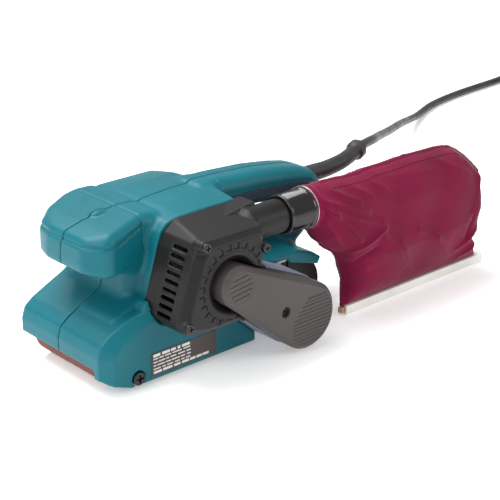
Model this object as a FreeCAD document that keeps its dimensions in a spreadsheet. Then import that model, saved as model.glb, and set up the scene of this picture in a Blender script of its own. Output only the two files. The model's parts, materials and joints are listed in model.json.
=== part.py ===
import FreeCAD, Part
import math
import os
from types import SimpleNamespace
from FreeCAD import Placement, Rotation, Vector

# Handheld belt sander.  X runs along the belt towards the handle, -Y is the motor
# cover's side, Z is up, and the origin is on the belt's flat underside.

os.makedirs("parts", exist_ok=True)
doc = FreeCAD.newDocument("BeltSander")

DRIVING_SIZES = {
    "belt_width": 76, "belt_thickness": 1.2, "fit_gap": 0.05, "moving_gap": 0.4,
    "drive_roller_radius": 26, "front_roller_radius": 20, "roller_span": 154,
    "front_roller_x": -106.7, "roller_core_wall": 4, "shaft_radius": 6,
    "bearing_radius": 11, "bearing_width": 7,
    "output_x": -36.5, "output_z": 76.5, "gear_module": 1, "pinion_teeth": 10,
    "gear_teeth": 30, "gear_width": 8, "motor_angle": 50,
    "small_pulley_radius": 5.75, "large_pulley_radius": 11.5, "pulley_width": 12,
    "toothed_belt_thickness": 1.4,
    "armature_radius": 17.4, "field_radius": 27, "field_bore": 18, "core_length": 44,
    "fan_radius": 25, "motor_shaft_radius": 4,
    "wall": 3, "cover_wall": 2, "countershaft_radius": 4,
    "housing_left_y": -45, "housing_right_y": 58, "skirt_left_y": -59.5,
    "skirt_right_y": 49.5, "cover_face_y": -92.5, "belt_cover_face_y": -101.3,
    "belt_cover_split_y": -79, "cover_end_radius": 16.3, "cover_drive_radius": 27.8,
    "cover_drive_back": 11.8, "cover_drive_up": 4.25,
    "handle_half_width": 20, "knob_left_y": -42, "knob_right_y": 46,
    "frame_wall_y": -43.5, "frame_wall": 6.5, "deck_z": 56.5, "deck_thickness": 4,
    "nozzle_y": -67, "nozzle_z": 107, "nozzle_radius": 13.6, "nozzle_end_x": 50,
    "collar_radius": 16, "collar_start_x": 33, "collar_end_x": 60,
    "bag_length": 220, "bag_thickness": 46, "rail_length": 178, "rail_height": 8,
    "lever_length": 46, "cord_radius": 4.25,
}

sizes = doc.addObject("Spreadsheet::Sheet", "Sizes")
for row, (alias, number) in enumerate(DRIVING_SIZES.items(), 1):
    sizes.set("A%d" % row, alias)
    sizes.set("B%d" % row, str(number))
    sizes.setAlias("B%d" % row, alias)
doc.recompute()
S = SimpleNamespace(**{alias: float(sizes.get(alias)) for alias in DRIVING_SIZES})

# Axes that several pieces share.
drive_x = S.front_roller_x + S.roller_span
drive_z = S.drive_roller_radius + S.fit_gap + S.belt_thickness
front_x = S.front_roller_x
front_z = S.front_roller_radius + S.fit_gap + S.belt_thickness
gear_distance = S.gear_module * (S.pinion_teeth + S.gear_teeth) / 2
motor_x = S.output_x + gear_distance * math.cos(math.radians(S.motor_angle))
motor_z = S.output_z + gear_distance * math.sin(math.radians(S.motor_angle))
half_belt = S.belt_width / 2
cover_drive_x = drive_x - S.cover_drive_back
cover_drive_z = drive_z + S.cover_drive_up
beam_top = min(front_z + S.front_roller_radius, drive_z + S.drive_roller_radius) - 0.25

DRIVE_X = "#front_roller_x + #roller_span"
DRIVE_Z = "#drive_roller_radius + #fit_gap + #belt_thickness"
FRONT_Z = "#front_roller_radius + #fit_gap + #belt_thickness"
GEAR_DISTANCE = "(#gear_module * (#pinion_teeth + #gear_teeth) / 2)"
MOTOR_X = "#output_x + " + GEAR_DISTANCE + " * cos(#motor_angle * 1 deg)"
MOTOR_Z = "#output_z + " + GEAR_DISTANCE + " * sin(#motor_angle * 1 deg)"

NODES = []


# ---------------------------------------------------------------- helpers

def bind(thing, prop, formula):
    """Bind a property to a formula of sheet aliases, each written #alias."""
    thing.setExpression(prop, str(formula).replace("#", "Sizes."))


def publish(thing, label):
    """Name a finished sub-part and list it for export."""
    thing.Label = label
    NODES.append(thing)
    return thing


def feature(label, shape):
    """A sub-part whose shape is worked out in code from the sheet's sizes."""
    made = doc.addObject("Part::Feature", label)
    place = shape.Placement
    made.Shape = shape
    made.Placement = place
    return publish(made, label)


def block(name, corner, spans):
    made = doc.addObject("Part::Box", name)
    for prop, formula in zip(("Length", "Width", "Height"), spans):
        bind(made, prop, formula)
    for axis, formula in zip("xyz", corner):
        bind(made, "Placement.Base." + axis, formula)
    return made


TURNS = {"x": Rotation(Vector(0, 1, 0), 90), "y": Rotation(Vector(1, 0, 0), -90),
         "z": Rotation()}


def bar(name, start, radius, length, axis="y"):
    """A round bar from its start centre along +axis."""
    made = doc.addObject("Part::Cylinder", name)
    made.Placement = Placement(Vector(), TURNS[axis])
    bind(made, "Radius", radius)
    bind(made, "Height", length)
    for letter, formula in zip("xyz", start):
        bind(made, "Placement.Base." + letter, formula)
    return made


def cut(name, base, *tools):
    tool = tools[0] if len(tools) == 1 else fuse(name + "_tools", *tools)
    made = doc.addObject("Part::Cut", name)
    made.Base = base
    made.Tool = tool
    return made


def fuse(name, *shapes):
    made = doc.addObject("Part::MultiFuse", name)
    made.Shapes = list(shapes)
    return made


def tube_of(name, start, outer, inner, length):
    return cut(name, bar(name + "_outside", start, outer, length),
               bar(name + "_bore", start, inner, length))


def ring(label, start, outer, inner, length):
    return publish(tube_of(label, start, outer, inner, length), label)


def bearing_pair(label, starts, outer, bore, length):
    """Two alike bearings in one node, as separate solids."""
    pair = [tube_of("%s_%d" % (label, number), start, outer, bore, length)
            for number, start in enumerate(starts, 1)]
    made = doc.addObject("Part::Compound", label)
    made.Links = pair
    return publish(made, label)


def design_body(label):
    return publish(doc.addObject("PartDesign::Body", label), label)


def sketch(body, name, role, place):
    """An empty sketch on an origin plane, moved within it by bound offsets."""
    made = body.newObject("Sketcher::SketchObject", name)
    plane = [each for each in body.Origin.OriginFeatures if each.Role == role][0]
    made.AttachmentSupport = [(plane, "")]
    made.MapMode = "FlatFace"
    for axis, formula in zip("xyz", place):
        bind(made, "AttachmentOffset.Base." + axis, formula)
    return made


def disc(body, name, role, place, radius):
    made = sketch(body, name, role, place)
    import Sketcher
    made.addGeometry(Part.Circle(Vector(), Vector(0, 0, 1), 5), False)
    made.addConstraint(Sketcher.Constraint("Coincident", 0, 3, -1, 1))
    made.addConstraint(Sketcher.Constraint("Radius", 0, 5))
    made.renameConstraint(1, "radius")
    bind(made, "Constraints.radius", radius)
    return made


def rectangle(body, name, role, place, width, height):
    """A rectangle centred on its sketch's origin."""
    made = sketch(body, name, role, place)
    import Sketcher
    corners = [Vector(-5, -5, 0), Vector(5, -5, 0), Vector(5, 5, 0), Vector(-5, 5, 0)]
    for index in range(4):
        made.addGeometry(Part.LineSegment(corners[index], corners[(index + 1) % 4]), False)
    for index in range(4):
        made.addConstraint(Sketcher.Constraint("Coincident", index, 2, (index + 1) % 4, 1))
    for index, kind in enumerate(("Horizontal", "Vertical", "Horizontal", "Vertical")):
        made.addConstraint(Sketcher.Constraint(kind, index))
    made.addConstraint(Sketcher.Constraint("Symmetric", 0, 1, 2, 1, -1, 1))
    made.addConstraint(Sketcher.Constraint("DistanceX", 0, 1, 0, 2, 10))
    made.renameConstraint(9, "width")
    made.addConstraint(Sketcher.Constraint("DistanceY", 1, 1, 1, 2, 10))
    made.renameConstraint(10, "height")
    bind(made, "Constraints.width", width)
    bind(made, "Constraints.height", height)
    return made


def pad(body, profile, length):
    made = body.newObject("PartDesign::Pad", profile.Name + "_pad")
    made.Profile = profile
    bind(made, "Length", length)
    return made


def pocket(body, profile, length):
    """A pocket that runs the same way as a pad of the same sketch would."""
    made = body.newObject("PartDesign::Pocket", profile.Name + "_pocket")
    made.Profile = profile
    made.Reversed = True
    bind(made, "Length", length)
    return made


def outline(start, *steps):
    """A closed wire at Y = 0 through (x, z) points; a pair of points is an arc."""
    def at(point):
        return Vector(point[0], 0, point[1])
    edges = []
    here = start
    for step in steps + (start,):
        if isinstance(step[0], tuple):
            edges.append(Part.Arc(at(here), at(step[0]), at(step[1])).toShape())
            here = step[1]
        elif step != here:
            edges.append(Part.LineSegment(at(here), at(step)).toShape())
            here = step
    return Part.Wire(edges)


def slab(wire, y_low, y_high):
    """The wire's area, as a solid between two heights of Y."""
    face = Part.Face(wire)
    face.translate(Vector(0, y_low, 0))
    return face.extrude(Vector(0, y_high - y_low, 0))


def box(x_low, x_high, y_low, y_high, z_low, z_high):
    return Part.makeBox(x_high - x_low, y_high - y_low, z_high - z_low,
                        Vector(x_low, y_low, z_low))


def rod(x, z, radius, y_low, y_high):
    """A round bar along Y."""
    return Part.makeCylinder(radius, y_high - y_low, Vector(x, y_low, z), Vector(0, 1, 0))


def belt_loop(first, second):
    """The wire round two circles, each (x, z, radius), as a belt runs."""
    (x1, z1, r1), (x2, z2, r2) = first, second
    run = math.hypot(x2 - x1, z2 - z1)
    heading = math.atan2(z2 - z1, x2 - x1)
    lean = math.acos((r1 - r2) / run)

    def on(x, z, radius, angle):
        return (x + radius * math.cos(angle), z + radius * math.sin(angle))
    upper, lower = heading + lean, heading - lean
    return outline(on(x1, z1, r1, upper), on(x2, z2, r2, upper),
                   (on(x2, z2, r2, heading), on(x2, z2, r2, lower)),
                   on(x1, z1, r1, lower),
                   (on(x1, z1, r1, heading + math.pi), on(x1, z1, r1, upper)))


def edges_where(shape, test):
    return [edge for edge in shape.Edges if test(edge.BoundBox)]


def pan_screw(head_radius, head_height, shank_radius, shank_length):
    """A cross-head screw along +Z, its head's underside at Z = 0."""
    head = Part.makeCylinder(head_radius, head_height)
    head = head.makeFillet(head_height * 0.45, [e for e in head.Edges
                                                if e.BoundBox.ZMin > head_height * 0.9])
    arm, depth = head_radius * 0.62, head_height * 0.55
    for long_x, long_y in ((arm, head_radius * 0.14), (head_radius * 0.14, arm)):
        head = head.cut(box(-long_x, long_x, -long_y, long_y, head_height - depth,
                            head_height + 1))
    return head.fuse(Part.makeCylinder(shank_radius, shank_length,
                                       Vector(0, 0, -shank_length))).removeSplitter()


def screws_at(label, places, facing, **form):
    """One node of identical screws whose heads look along the given direction."""
    turn = Rotation(Vector(0, 0, 1), facing)
    solids = []
    for place in places:
        screw = pan_screw(**form)
        screw.Placement = Placement(place, turn)
        solids.append(screw)
    return feature(label, Part.Compound(solids))


# ---------------------------------------------------------------- belt and rollers

def make_sanding_belt():
    inner = S.fit_gap
    outer = S.fit_gap + S.belt_thickness
    loops = [belt_loop((front_x, front_z, S.front_roller_radius + reach),
                       (drive_x, drive_z, S.drive_roller_radius + reach))
             for reach in (outer, inner)]
    solid = slab(loops[0], -half_belt, half_belt).cut(slab(loops[1], -half_belt, half_belt))
    feature("sanding_belt", solid)


def make_drive_roller():
    middle = (DRIVE_X, "-#belt_width / 2", DRIVE_Z)
    ring("drive_roller_lagging", middle, "#drive_roller_radius",
         "#drive_roller_radius - #roller_core_wall", "#belt_width")
    core = cut("drive_roller_core",
               bar("drive_core_outside", middle, "#drive_roller_radius - #roller_core_wall",
                   "#belt_width"),
               bar("drive_core_bore", middle, "#shaft_radius", "#belt_width"))
    publish(core, "drive_roller_core")
    shaft_start = (DRIVE_X, "#belt_cover_face_y + 5", DRIVE_Z)
    publish(bar("drive_shaft", shaft_start, "#shaft_radius",
                "#belt_width / 2 - #belt_cover_face_y - 5"), "drive_shaft")


def make_front_roller():
    body = design_body("front_roller")
    start = ("#front_roller_x", FRONT_Z, "-#belt_width / 2")
    pad(body, disc(body, "front_tread", "XZ_Plane", start, "#front_roller_radius"),
        "#belt_width")
    pocket(body, disc(body, "front_hollow", "XZ_Plane", start, "#bearing_radius"),
           "#belt_width")
    doc.recompute()
    ends = ("-#belt_width / 2", "#belt_width / 2 - #bearing_width")
    bearing_pair("front_bearings", [("#front_roller_x", end, FRONT_Z) for end in ends],
                 "#bearing_radius", "#motor_shaft_radius + #fit_gap", "#bearing_width")


FORK_REACH = 25


def make_fork():
    """The sliding fork that carries the front axle and its shank."""
    plate_x = front_x + S.front_roller_radius + 2.5
    arm_gap = S.moving_gap
    arm_width = 4
    yoke = box(plate_x, plate_x + 5, -half_belt - arm_gap - arm_width,
               half_belt + arm_gap + arm_width, front_z - 11, front_z + 9)
    for side in (-1, 1):
        inner = side * (half_belt + arm_gap)
        outer = side * (half_belt + arm_gap + arm_width)
        arm = slab(outline((front_x, front_z + 8), (plate_x + 5, front_z + 8),
                           (plate_x + 5, front_z - 8), (front_x, front_z - 8),
                           ((front_x - 8, front_z), (front_x, front_z + 8))),
                   min(inner, outer), max(inner, outer))
        yoke = yoke.fuse(arm)
    yoke = yoke.cut(rod(front_x, front_z, S.motor_shaft_radius, -60, 60))
    shank = Part.makeCylinder(5, FORK_REACH, Vector(plate_x + 5, 0, front_z - 1),
                              Vector(1, 0, 0))
    feature("roller_fork", yoke.fuse(shank).removeSplitter())
    end = half_belt + S.moving_gap + 4
    publish(bar("front_axle", ("#front_roller_x", str(-end), FRONT_Z),
                "#motor_shaft_radius", str(2 * end)), "front_axle")
    return plate_x + 5


def helix_spring(start, length, mean_radius, wire_radius, turns):
    """A helical spring along +X."""
    helix = Part.makeHelix(length / turns, length, mean_radius)
    section = Part.Wire(Part.Circle(Vector(mean_radius, 0, 0), Vector(0, 1, 0),
                                    wire_radius).toShape())
    coil = Part.Wire(helix).makePipeShell([section], True, True)
    coil.Placement = Placement(start, Rotation(Vector(0, 1, 0), 90))
    return coil


# ---------------------------------------------------------------- frame and platen

def make_frame(shank_x):
    """Cast frame: outer wall, deck over the belt, beam inside the loop."""
    y_in, y_out = S.frame_wall_y, S.frame_wall_y - S.frame_wall
    deck_top = S.deck_z + S.deck_thickness
    wall = slab(outline((-84, 8), (-70, 5), (drive_x, 5),
                        ((drive_x + 22, drive_z), (drive_x, drive_z + 24)),
                        (drive_x + 8, deck_top), (-88, deck_top), (-84, 30)), y_out, y_in)
    deck = slab(outline((-88, S.deck_z), (58, S.deck_z), (93, 48.5), (93, 50.2), (60, deck_top),
                        (-88, deck_top)), y_out, half_belt + 2)
    beam_x = front_x + S.front_roller_radius + 18
    beam_end = drive_x - S.drive_roller_radius - 6
    floor_z = 2 * S.fit_gap + S.belt_thickness + 3.5
    beam = box(beam_x, beam_end, y_out, half_belt + 2, floor_z, floor_z + 5)
    beam = beam.fuse(box(beam_x, beam_end, y_out, half_belt + 2, beam_top - 5, beam_top))
    rib = box(beam_x + 1, beam_x + 9, y_out, half_belt - 6, floor_z, beam_top)
    boss = rod(drive_x, drive_z, S.bearing_radius + 5, y_out, y_in + 1.5)
    frame = wall.fuse([deck, beam, rib, boss])
    frame = frame.cut(rod(drive_x, drive_z, S.bearing_radius, y_out, y_out + S.bearing_width))
    frame = frame.cut(rod(drive_x, drive_z, S.shaft_radius + 1, y_out, y_in + 2))
    bore = Part.makeCylinder(5 + S.fit_gap, 40, Vector(shank_x, 0, front_z - 1),
                             Vector(1, 0, 0))
    lever_bore = Part.makeCylinder(3, 60, Vector(-30, half_belt - 4, 0), Vector(0, 0, 1))
    frame = frame.cut(bore).cut(lever_bore).removeSplitter()
    feature("base_frame", frame)
    publish(bar("lever_pin", ("-30", "#belt_width / 2 - 4", str(floor_z)), "3",
                str(beam_top - floor_z), "z"), "lever_pin")
    return floor_z, beam_x, beam_end


def make_platen(floor_z, beam_x, beam_end):
    middle = (beam_x + beam_end) / 2
    length = beam_end - beam_x
    under = "2 * #fit_gap + #belt_thickness"
    for label, low, thick in (("platen_pad", under, "2.3"),
                              ("platen_plate", under + " + 2.3", "1.2")):
        body = design_body(label)
        pad(body, rectangle(body, label + "_outline", "XY_Plane", (str(middle), "0", low),
                            str(length), "#belt_width - 2"), thick)
    doc.recompute()


def make_tension_lever():
    """Side lever, pivoted on a vertical pin inside the belt loop."""
    pivot = Vector(-30, half_belt - 4, 0)
    low, high = 17, 33
    hub = Part.makeCylinder(6, high - low, pivot + Vector(0, 0, low))
    arm = box(-30, -30 + S.lever_length, half_belt - 1, half_belt + 2.5, low + 2, high - 2)
    neck = box(-33, -27, half_belt - 4, half_belt + 2.5, low + 2, high - 2)
    lever = hub.fuse([arm, neck])
    lever = lever.removeSplitter()
    lever = lever.cut(Part.makeCylinder(3 + S.fit_gap, 60, Vector(-30, half_belt - 4, 0)))
    feature("tension_lever", lever)


# ---------------------------------------------------------------- drive train

def toothed_outline(teeth, module, turn, thin):
    """A gear's outline with straight-sided teeth; thin is the backlash share."""
    pitch = teeth * module / 2
    step = 2 * math.pi / teeth
    root, tip = pitch - 1.15 * module, pitch + 0.75 * module
    points = []
    for tooth in range(teeth):
        middle = turn + tooth * step
        for radius, share in ((root, -0.36), (tip, -0.14), (tip, 0.14), (root, 0.36)):
            angle = middle + step * share * thin
            points.append((radius * math.cos(angle), radius * math.sin(angle)))
    return points


def gear_solid(teeth, x, z, y_low, y_high, turn, bore):
    points = toothed_outline(int(teeth), S.gear_module, turn, 0.8)
    wire = Part.makePolygon([Vector(x + px, 0, z + pz) for px, pz in points + points[:1]])
    gear = slab(wire, y_low, y_high)
    if bore:
        gear = gear.cut(rod(x, z, bore, y_low, y_high))
    return gear


GEAR_Y = -62


def make_gears():
    facing = math.radians(S.motor_angle)
    gear = gear_solid(S.gear_teeth, S.output_x, S.output_z, GEAR_Y, GEAR_Y + S.gear_width,
                      facing, S.countershaft_radius)
    feature("helical_gear", gear)
    turn = facing + math.pi + math.pi / S.pinion_teeth
    pinion = gear_solid(S.pinion_teeth, motor_x, motor_z, GEAR_Y - 1,
                        GEAR_Y + S.gear_width + 1, turn, 0)
    shaft = rod(motor_x, motor_z, 3.4, GEAR_Y - 1, -38)
    shaft = shaft.fuse(rod(motor_x, motor_z, S.motor_shaft_radius, -50.5, 53))
    feature("armature_shaft", shaft.fuse(pinion).removeSplitter())
    start = ("#output_x", "#belt_cover_face_y + 6", "#output_z")
    publish(bar("countershaft", start, "#countershaft_radius", "-44.5 - #belt_cover_face_y - 6"), "countershaft")


def make_pulleys():
    for label, x, z, radius, bore in (
            ("small_pulley", "#output_x", "#output_z", "#small_pulley_radius", "#countershaft_radius"),
            ("large_pulley", DRIVE_X, DRIVE_Z, "#large_pulley_radius", "#shaft_radius")):
        body = design_body(label)
        start = (x, z, "-#belt_cover_split_y + 1.5")
        pad(body, disc(body, label + "_rim", "XZ_Plane", start, radius), "#pulley_width")
        flange = (x, z, "-#belt_cover_split_y + 0.5")
        pad(body, disc(body, label + "_flange", "XZ_Plane", flange, radius + " + 0.9"), "1")
        pocket(body, disc(body, label + "_bore", "XZ_Plane", flange, bore),
               "#pulley_width + 1")
    doc.recompute()


def make_toothed_belt():
    y_high = S.belt_cover_split_y - 2.5
    y_low = y_high - S.pulley_width + 2
    outer, inner = [belt_loop((S.output_x, S.output_z, S.small_pulley_radius + reach),
                              (drive_x, drive_z, S.large_pulley_radius + reach))
                    for reach in (S.fit_gap + S.toothed_belt_thickness, S.fit_gap)]
    feature("toothed_belt", slab(outer, y_low, y_high).cut(slab(inner, y_low, y_high)))


def make_motor():
    core_y = -16
    windings = 7
    middle = (MOTOR_X, str(core_y), MOTOR_Z)
    ring("armature_core", middle, "#armature_radius", "#motor_shaft_radius", "#core_length")
    ends = [rod(motor_x, motor_z, 15, low, low + windings).cut(
            rod(motor_x, motor_z, S.motor_shaft_radius, low, low + windings))
            for low in (core_y - windings, core_y + S.core_length)]
    feature("armature_windings", Part.Compound(ends))
    commutator_y = core_y + S.core_length + windings
    ring("commutator", (MOTOR_X, str(commutator_y), MOTOR_Z), "9.5",
         "#motor_shaft_radius", "9")
    ring("field_core", middle, "#field_radius", "#field_bore", "#core_length")
    coils = [rod(motor_x, motor_z, S.field_radius - 2, low, low + windings - 1).cut(
             rod(motor_x, motor_z, S.field_bore, low, low + windings - 1))
             for low in (core_y - windings + 1, core_y + S.core_length)]
    feature("field_coils", Part.Compound(coils))
    make_fan(core_y - windings - 11)
    bearing_pair("armature_bearings", [(MOTOR_X, "-50.5", MOTOR_Z), (MOTOR_X, "46", MOTOR_Z)],
                 "#bearing_radius", "#motor_shaft_radius + #fit_gap", "6")
    make_brushes(commutator_y)


def make_fan(y_low):
    """Cooling fan: a back plate, a hub and a ring of straight blades."""
    plate = rod(motor_x, motor_z, S.fan_radius, y_low, y_low + 1.5)
    hub = rod(motor_x, motor_z, 8, y_low, y_low + 9)
    fan = plate.fuse(hub)
    blades = 12
    for index in range(blades):
        blade = box(9, S.fan_radius - 1, -0.8, 0.8, 0, 8)
        blade.rotate(Vector(), Vector(0, 0, 1), 360.0 / blades * index)
        blade.rotate(Vector(), Vector(1, 0, 0), -90)
        blade.translate(Vector(motor_x, y_low + 1, motor_z))
        fan = fan.fuse(blade)
    fan = fan.cut(rod(motor_x, motor_z, S.motor_shaft_radius, y_low - 1, y_low + 10))
    feature("cooling_fan", fan.removeSplitter())


def make_brushes(y_low):
    reach = 9.5 + S.moving_gap
    holders, carbons = [], []
    for side in (-1, 1):
        inner, outer = sorted((motor_x + side * reach, motor_x + side * (reach + 14)))
        carbons.append(box(inner, outer, y_low + 2, y_low + 7, motor_z - 3, motor_z + 3))
        inner, outer = sorted((motor_x + side * (reach + 3), motor_x + side * (reach + 15)))
        sleeve = box(inner, outer, y_low + 0.5, y_low + 8.5, motor_z - 4.5, motor_z + 4.5)
        inner, outer = sorted((motor_x + side * (reach + 3), motor_x + side * (reach + 14)))
        holders.append(sleeve.cut(box(inner, outer, y_low + 2, y_low + 7, motor_z - 3,
                                      motor_z + 3)))
    feature("brush_holders", Part.Compound(holders))
    feature("carbon_brushes", Part.Compound(carbons))


def make_gear_case():
    """Bearing plate between motor and gears, and the gear case over the gears."""
    plate = slab(cover_profile(S.wall + 0.4), -51, -44.5)
    plate = plate.cut(box(-100, 20, -60, -40, 30, 64.2))
    plate = plate.cut(rod(motor_x, motor_z, S.bearing_radius, -50.5, -44.5))
    plate = plate.cut(rod(motor_x, motor_z, 6, -51, -44))
    plate = plate.cut(rod(S.output_x, S.output_z, 5, -51, -44))
    plate = plate.cut(rod(S.output_x, S.output_z, 8, -50.5, -44.5))
    feature("gear_plate", plate)
    bearing_pair("countershaft_bearings",
                 [("#output_x", start, "#output_z") for start in ("-50.5", "-74.5")],
                 "8", "#countershaft_radius + #fit_gap", "6")
    gear_reach = S.gear_module * (S.gear_teeth / 2 + 1)
    outer = belt_loop((S.output_x, S.output_z, gear_reach + 4),
                      (motor_x, motor_z, S.gear_module * S.pinion_teeth / 2 + 6))
    inner = belt_loop((S.output_x, S.output_z, gear_reach + 1),
                      (motor_x, motor_z, S.gear_module * S.pinion_teeth / 2 + 3))
    case = slab(outer, -67, -51).cut(slab(inner, -64.5, -51))
    case = case.fuse(rod(S.output_x, S.output_z, 11, -74.5, -67))
    case = case.cut(rod(S.output_x, S.output_z, 8, -74.5, -68))
    case = case.cut(rod(S.output_x, S.output_z, 6, -75, -60))
    feature("gear_case", case.removeSplitter())
    starts = ("#frame_wall_y - #frame_wall", "#belt_cover_split_y + 2.5")
    bearing_pair("drive_bearings", [(DRIVE_X, start, DRIVE_Z) for start in starts],
                 "#bearing_radius", "#shaft_radius + #fit_gap", "#bearing_width")


# ---------------------------------------------------------------- plastic covers

def cover_loop(grow):
    return belt_loop((S.output_x, S.output_z, S.cover_end_radius + grow),
                     (cover_drive_x, cover_drive_z, S.cover_drive_radius + grow))


def make_belt_covers():
    face = S.belt_cover_face_y
    split = S.belt_cover_split_y
    shell = slab(cover_loop(0), face, split)
    shell = shell.makeFillet(2, edges_where(shell, lambda b: b.YMax < face + 0.1))
    shell = shell.cut(slab(cover_loop(-S.cover_wall), face + S.cover_wall, split))
    boss = rod(9.5, 42.7, 6, face + 1, face + 8).fuse(rod(9.5, 42.7, 3, face + 8, split))
    shell = shell.fuse(boss).cut(rod(9.5, 42.7, 4.2, face - 1, face + 6))
    shell = shell.cut(rod(9.5, 42.7, 1.6, face, split))
    for index in range(13):
        z = 12 + 3.1 * index
        groove = box(14 + abs(z - 31) * 0.25, 58 - abs(z - 31) * 0.45, face - 1,
                     face + 0.5, z - 0.45, z + 0.45)
        shell = shell.cut(groove)
    feature("belt_cover", shell)

    back_y = S.skirt_left_y + 8
    inner = slab(cover_loop(0.8), split, back_y)
    inner = inner.cut(slab(cover_loop(0.8 - S.cover_wall), split + 2.5, back_y))
    bearing_seat = rod(drive_x, drive_z, S.bearing_radius + 3, split + 0.1, split + 9.5)
    inner = inner.fuse(bearing_seat)
    inner = inner.cut(rod(drive_x, drive_z, S.bearing_radius, split + 2.5, split + 9.5))
    inner = inner.cut(rod(drive_x, drive_z, S.shaft_radius + 0.6, split - 1, split + 10))
    inner = inner.cut(box(-60, 2.2, -110, -40, 38, 130))
    feature("inner_belt_cover", inner.removeSplitter())
    screws_at("belt_cover_screw", [Vector(9.5, face + 5, 42.7)], Vector(0, -1, 0),
              head_radius=3.6, head_height=2.2, shank_radius=1.6, shank_length=15)


def cover_profile(shrink):
    """The motor cover's side outline, its front edge slanting back as it rises."""
    low, high = 41.7 + shrink, 115.5 - shrink
    return outline((-66.3 + shrink * 1.3, high), (-86 + shrink * 1.1, 55),
                   (-79 + shrink, 46 + shrink * 0.7), (-60, low), (-22, low),
                   (-1.7 - shrink, 55 + shrink * 0.5), (-1.7 - shrink, high))


COVER_SCREWS = ((-62.5, 112.5), (-4.5, 97.5), (-79.5, 54))


def make_motor_cover():
    face, back = S.cover_face_y, S.housing_left_y
    shell = slab(cover_profile(0), face, back)
    shell = shell.makeChamfer(3, edges_where(shell, lambda b: b.YMax < face + 0.1))
    roof = box(-62, 8, -70, back, 108, 120.3)
    tube = Part.makeCylinder(S.nozzle_radius, S.collar_start_x + 30,
                             Vector(-30, S.nozzle_y, S.nozzle_z), Vector(1, 0, 0))
    spout = Part.makeCylinder(S.nozzle_radius - 2, S.nozzle_end_x,
                              Vector(0, S.nozzle_y, S.nozzle_z), Vector(1, 0, 0))
    shell = shell.fuse([roof, tube, spout])
    inside = slab(cover_profile(S.cover_wall), face + S.cover_wall, back)
    inside = inside.fuse(box(-59, 5.5, -67.5, back, 106, 117.8))
    inside = inside.fuse(Part.makeCylinder(S.nozzle_radius - 4, S.nozzle_end_x + 30,
                                           Vector(-28, S.nozzle_y, S.nozzle_z),
                                           Vector(1, 0, 0)))
    shell = shell.cut(inside)
    # the belt cover nests in a well that reaches back to its split plane
    well = slab(cover_loop(S.moving_gap), face - 1, S.belt_cover_split_y + 0.2)
    lining = slab(cover_loop(S.moving_gap + 2), face + 1, S.belt_cover_split_y + 2.2)
    lining = lining.common(slab(cover_profile(1), face, back))
    shell = shell.fuse(lining).cut(well)
    shell = shell.cut(rod(S.output_x, S.output_z, 12, -80, -70))
    shell = shell.cut(box(-90, 62, S.frame_wall_y - S.frame_wall - 0.2, -40, 30, 60.8))
    for index in range(9):
        z = 103.5 - 6.2 * index
        x = -66.3 - (115.5 - z) * 19.7 / 60.5
        slot = box(x - 4, x + 6, -77, -61, z - 1.4, z + 1.4)
        shell = shell.cut(slot)
    for x, z in COVER_SCREWS:
        shell = shell.cut(rod(x, z, 1.6, face - 1, face + 4))
    feature("motor_cover", shell.removeSplitter())
    screws_at("motor_cover_screws", [Vector(x, face, z) for x, z in COVER_SCREWS],
              Vector(0, -1, 0), head_radius=3.8, head_height=2.4, shank_radius=1.6,
              shank_length=4)


# ---------------------------------------------------------------- clamshell housing

def rounded(centre, across, up, width, height, radius):
    """A rounded rectangle's wire, spanned by two unit directions."""
    def at(u, v):
        return centre + across * u + up * v
    w, h = width / 2, height / 2
    bend = radius * (1 - math.sqrt(0.5))
    edges = []
    for sx, sy, ends in ((1, -1, 0), (1, 1, 1), (-1, 1, 0), (-1, -1, 1)):
        corner = [at(sx * (w - radius), sy * h), at(sx * w, sy * (h - radius))]
        if ends:
            corner.reverse()
        middle = at(sx * (w - bend), sy * (h - bend))
        edges.append(Part.Arc(corner[0], middle, corner[1]).toShape())
    sides = [Part.LineSegment(one.lastVertex().Point, two.firstVertex().Point).toShape()
             for one, two in zip(edges, edges[1:] + edges[:1])]
    return Part.Wire([edge for pair in zip(edges, sides) for edge in pair])


def knob_solid():
    """The front knob: side profile, plan and cross-section, all rounded."""
    left, right = S.knob_left_y, S.knob_right_y
    side = slab(outline((-118, 84.8), ((-125, 88), (-127.5, 97)), (-127.5, 108),
                        ((-125.5, 113.5), (-119, 116)), (-74, 124), (-62, 124), (-62, 86)),
                left, right + 6)

    def flat(x, y):
        return Vector(x, y, 80)
    edges = [Part.LineSegment(flat(-127.5, left + 16), flat(-127.5, right - 17)),
             Part.Arc(flat(-127.5, right - 17), flat(-123, right - 5), flat(-111, right)),
             Part.LineSegment(flat(-111, right), flat(-60, right + 6)),
             Part.LineSegment(flat(-60, right + 6), flat(-60, left + 10)),
             Part.LineSegment(flat(-60, left + 10), flat(-90, left + 5)),
             Part.LineSegment(flat(-90, left + 5), flat(-105, left)),
             Part.Arc(flat(-105, left), flat(-121, left + 4), flat(-127.5, left + 16))]
    plan = Part.Face(Part.Wire([edge.toShape() for edge in edges]))
    middle = Vector(-130, (left + right) / 2 + 3, 106)
    section = Part.Face(rounded(middle, Vector(0, 1, 0), Vector(0, 0, 1),
                                right - left + 6, 43, 15))
    knob = side.common(plan.extrude(Vector(0, 0, 60)))
    return knob.common(section.extrude(Vector(80, 0, 0)))


HANDLE_BAR = ((6, 127.6, 92), (35, 126.6, 95.5), (65, 124.8, 95), (90, 121.3, 91),
              (106, 118.3, 84))
HANDLE_LEG = ((51, 60, 93, 62), (56, 70, 100, 50), (63, 78, 108.5, 41), (73, 84, 119, 40),
              (85, 88, 130, 40), (96, 87, 133.5, 40), (105, 87, 131, 38), (113, 88, 123, 33),
              (117.5, 90, 112, 26))


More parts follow.
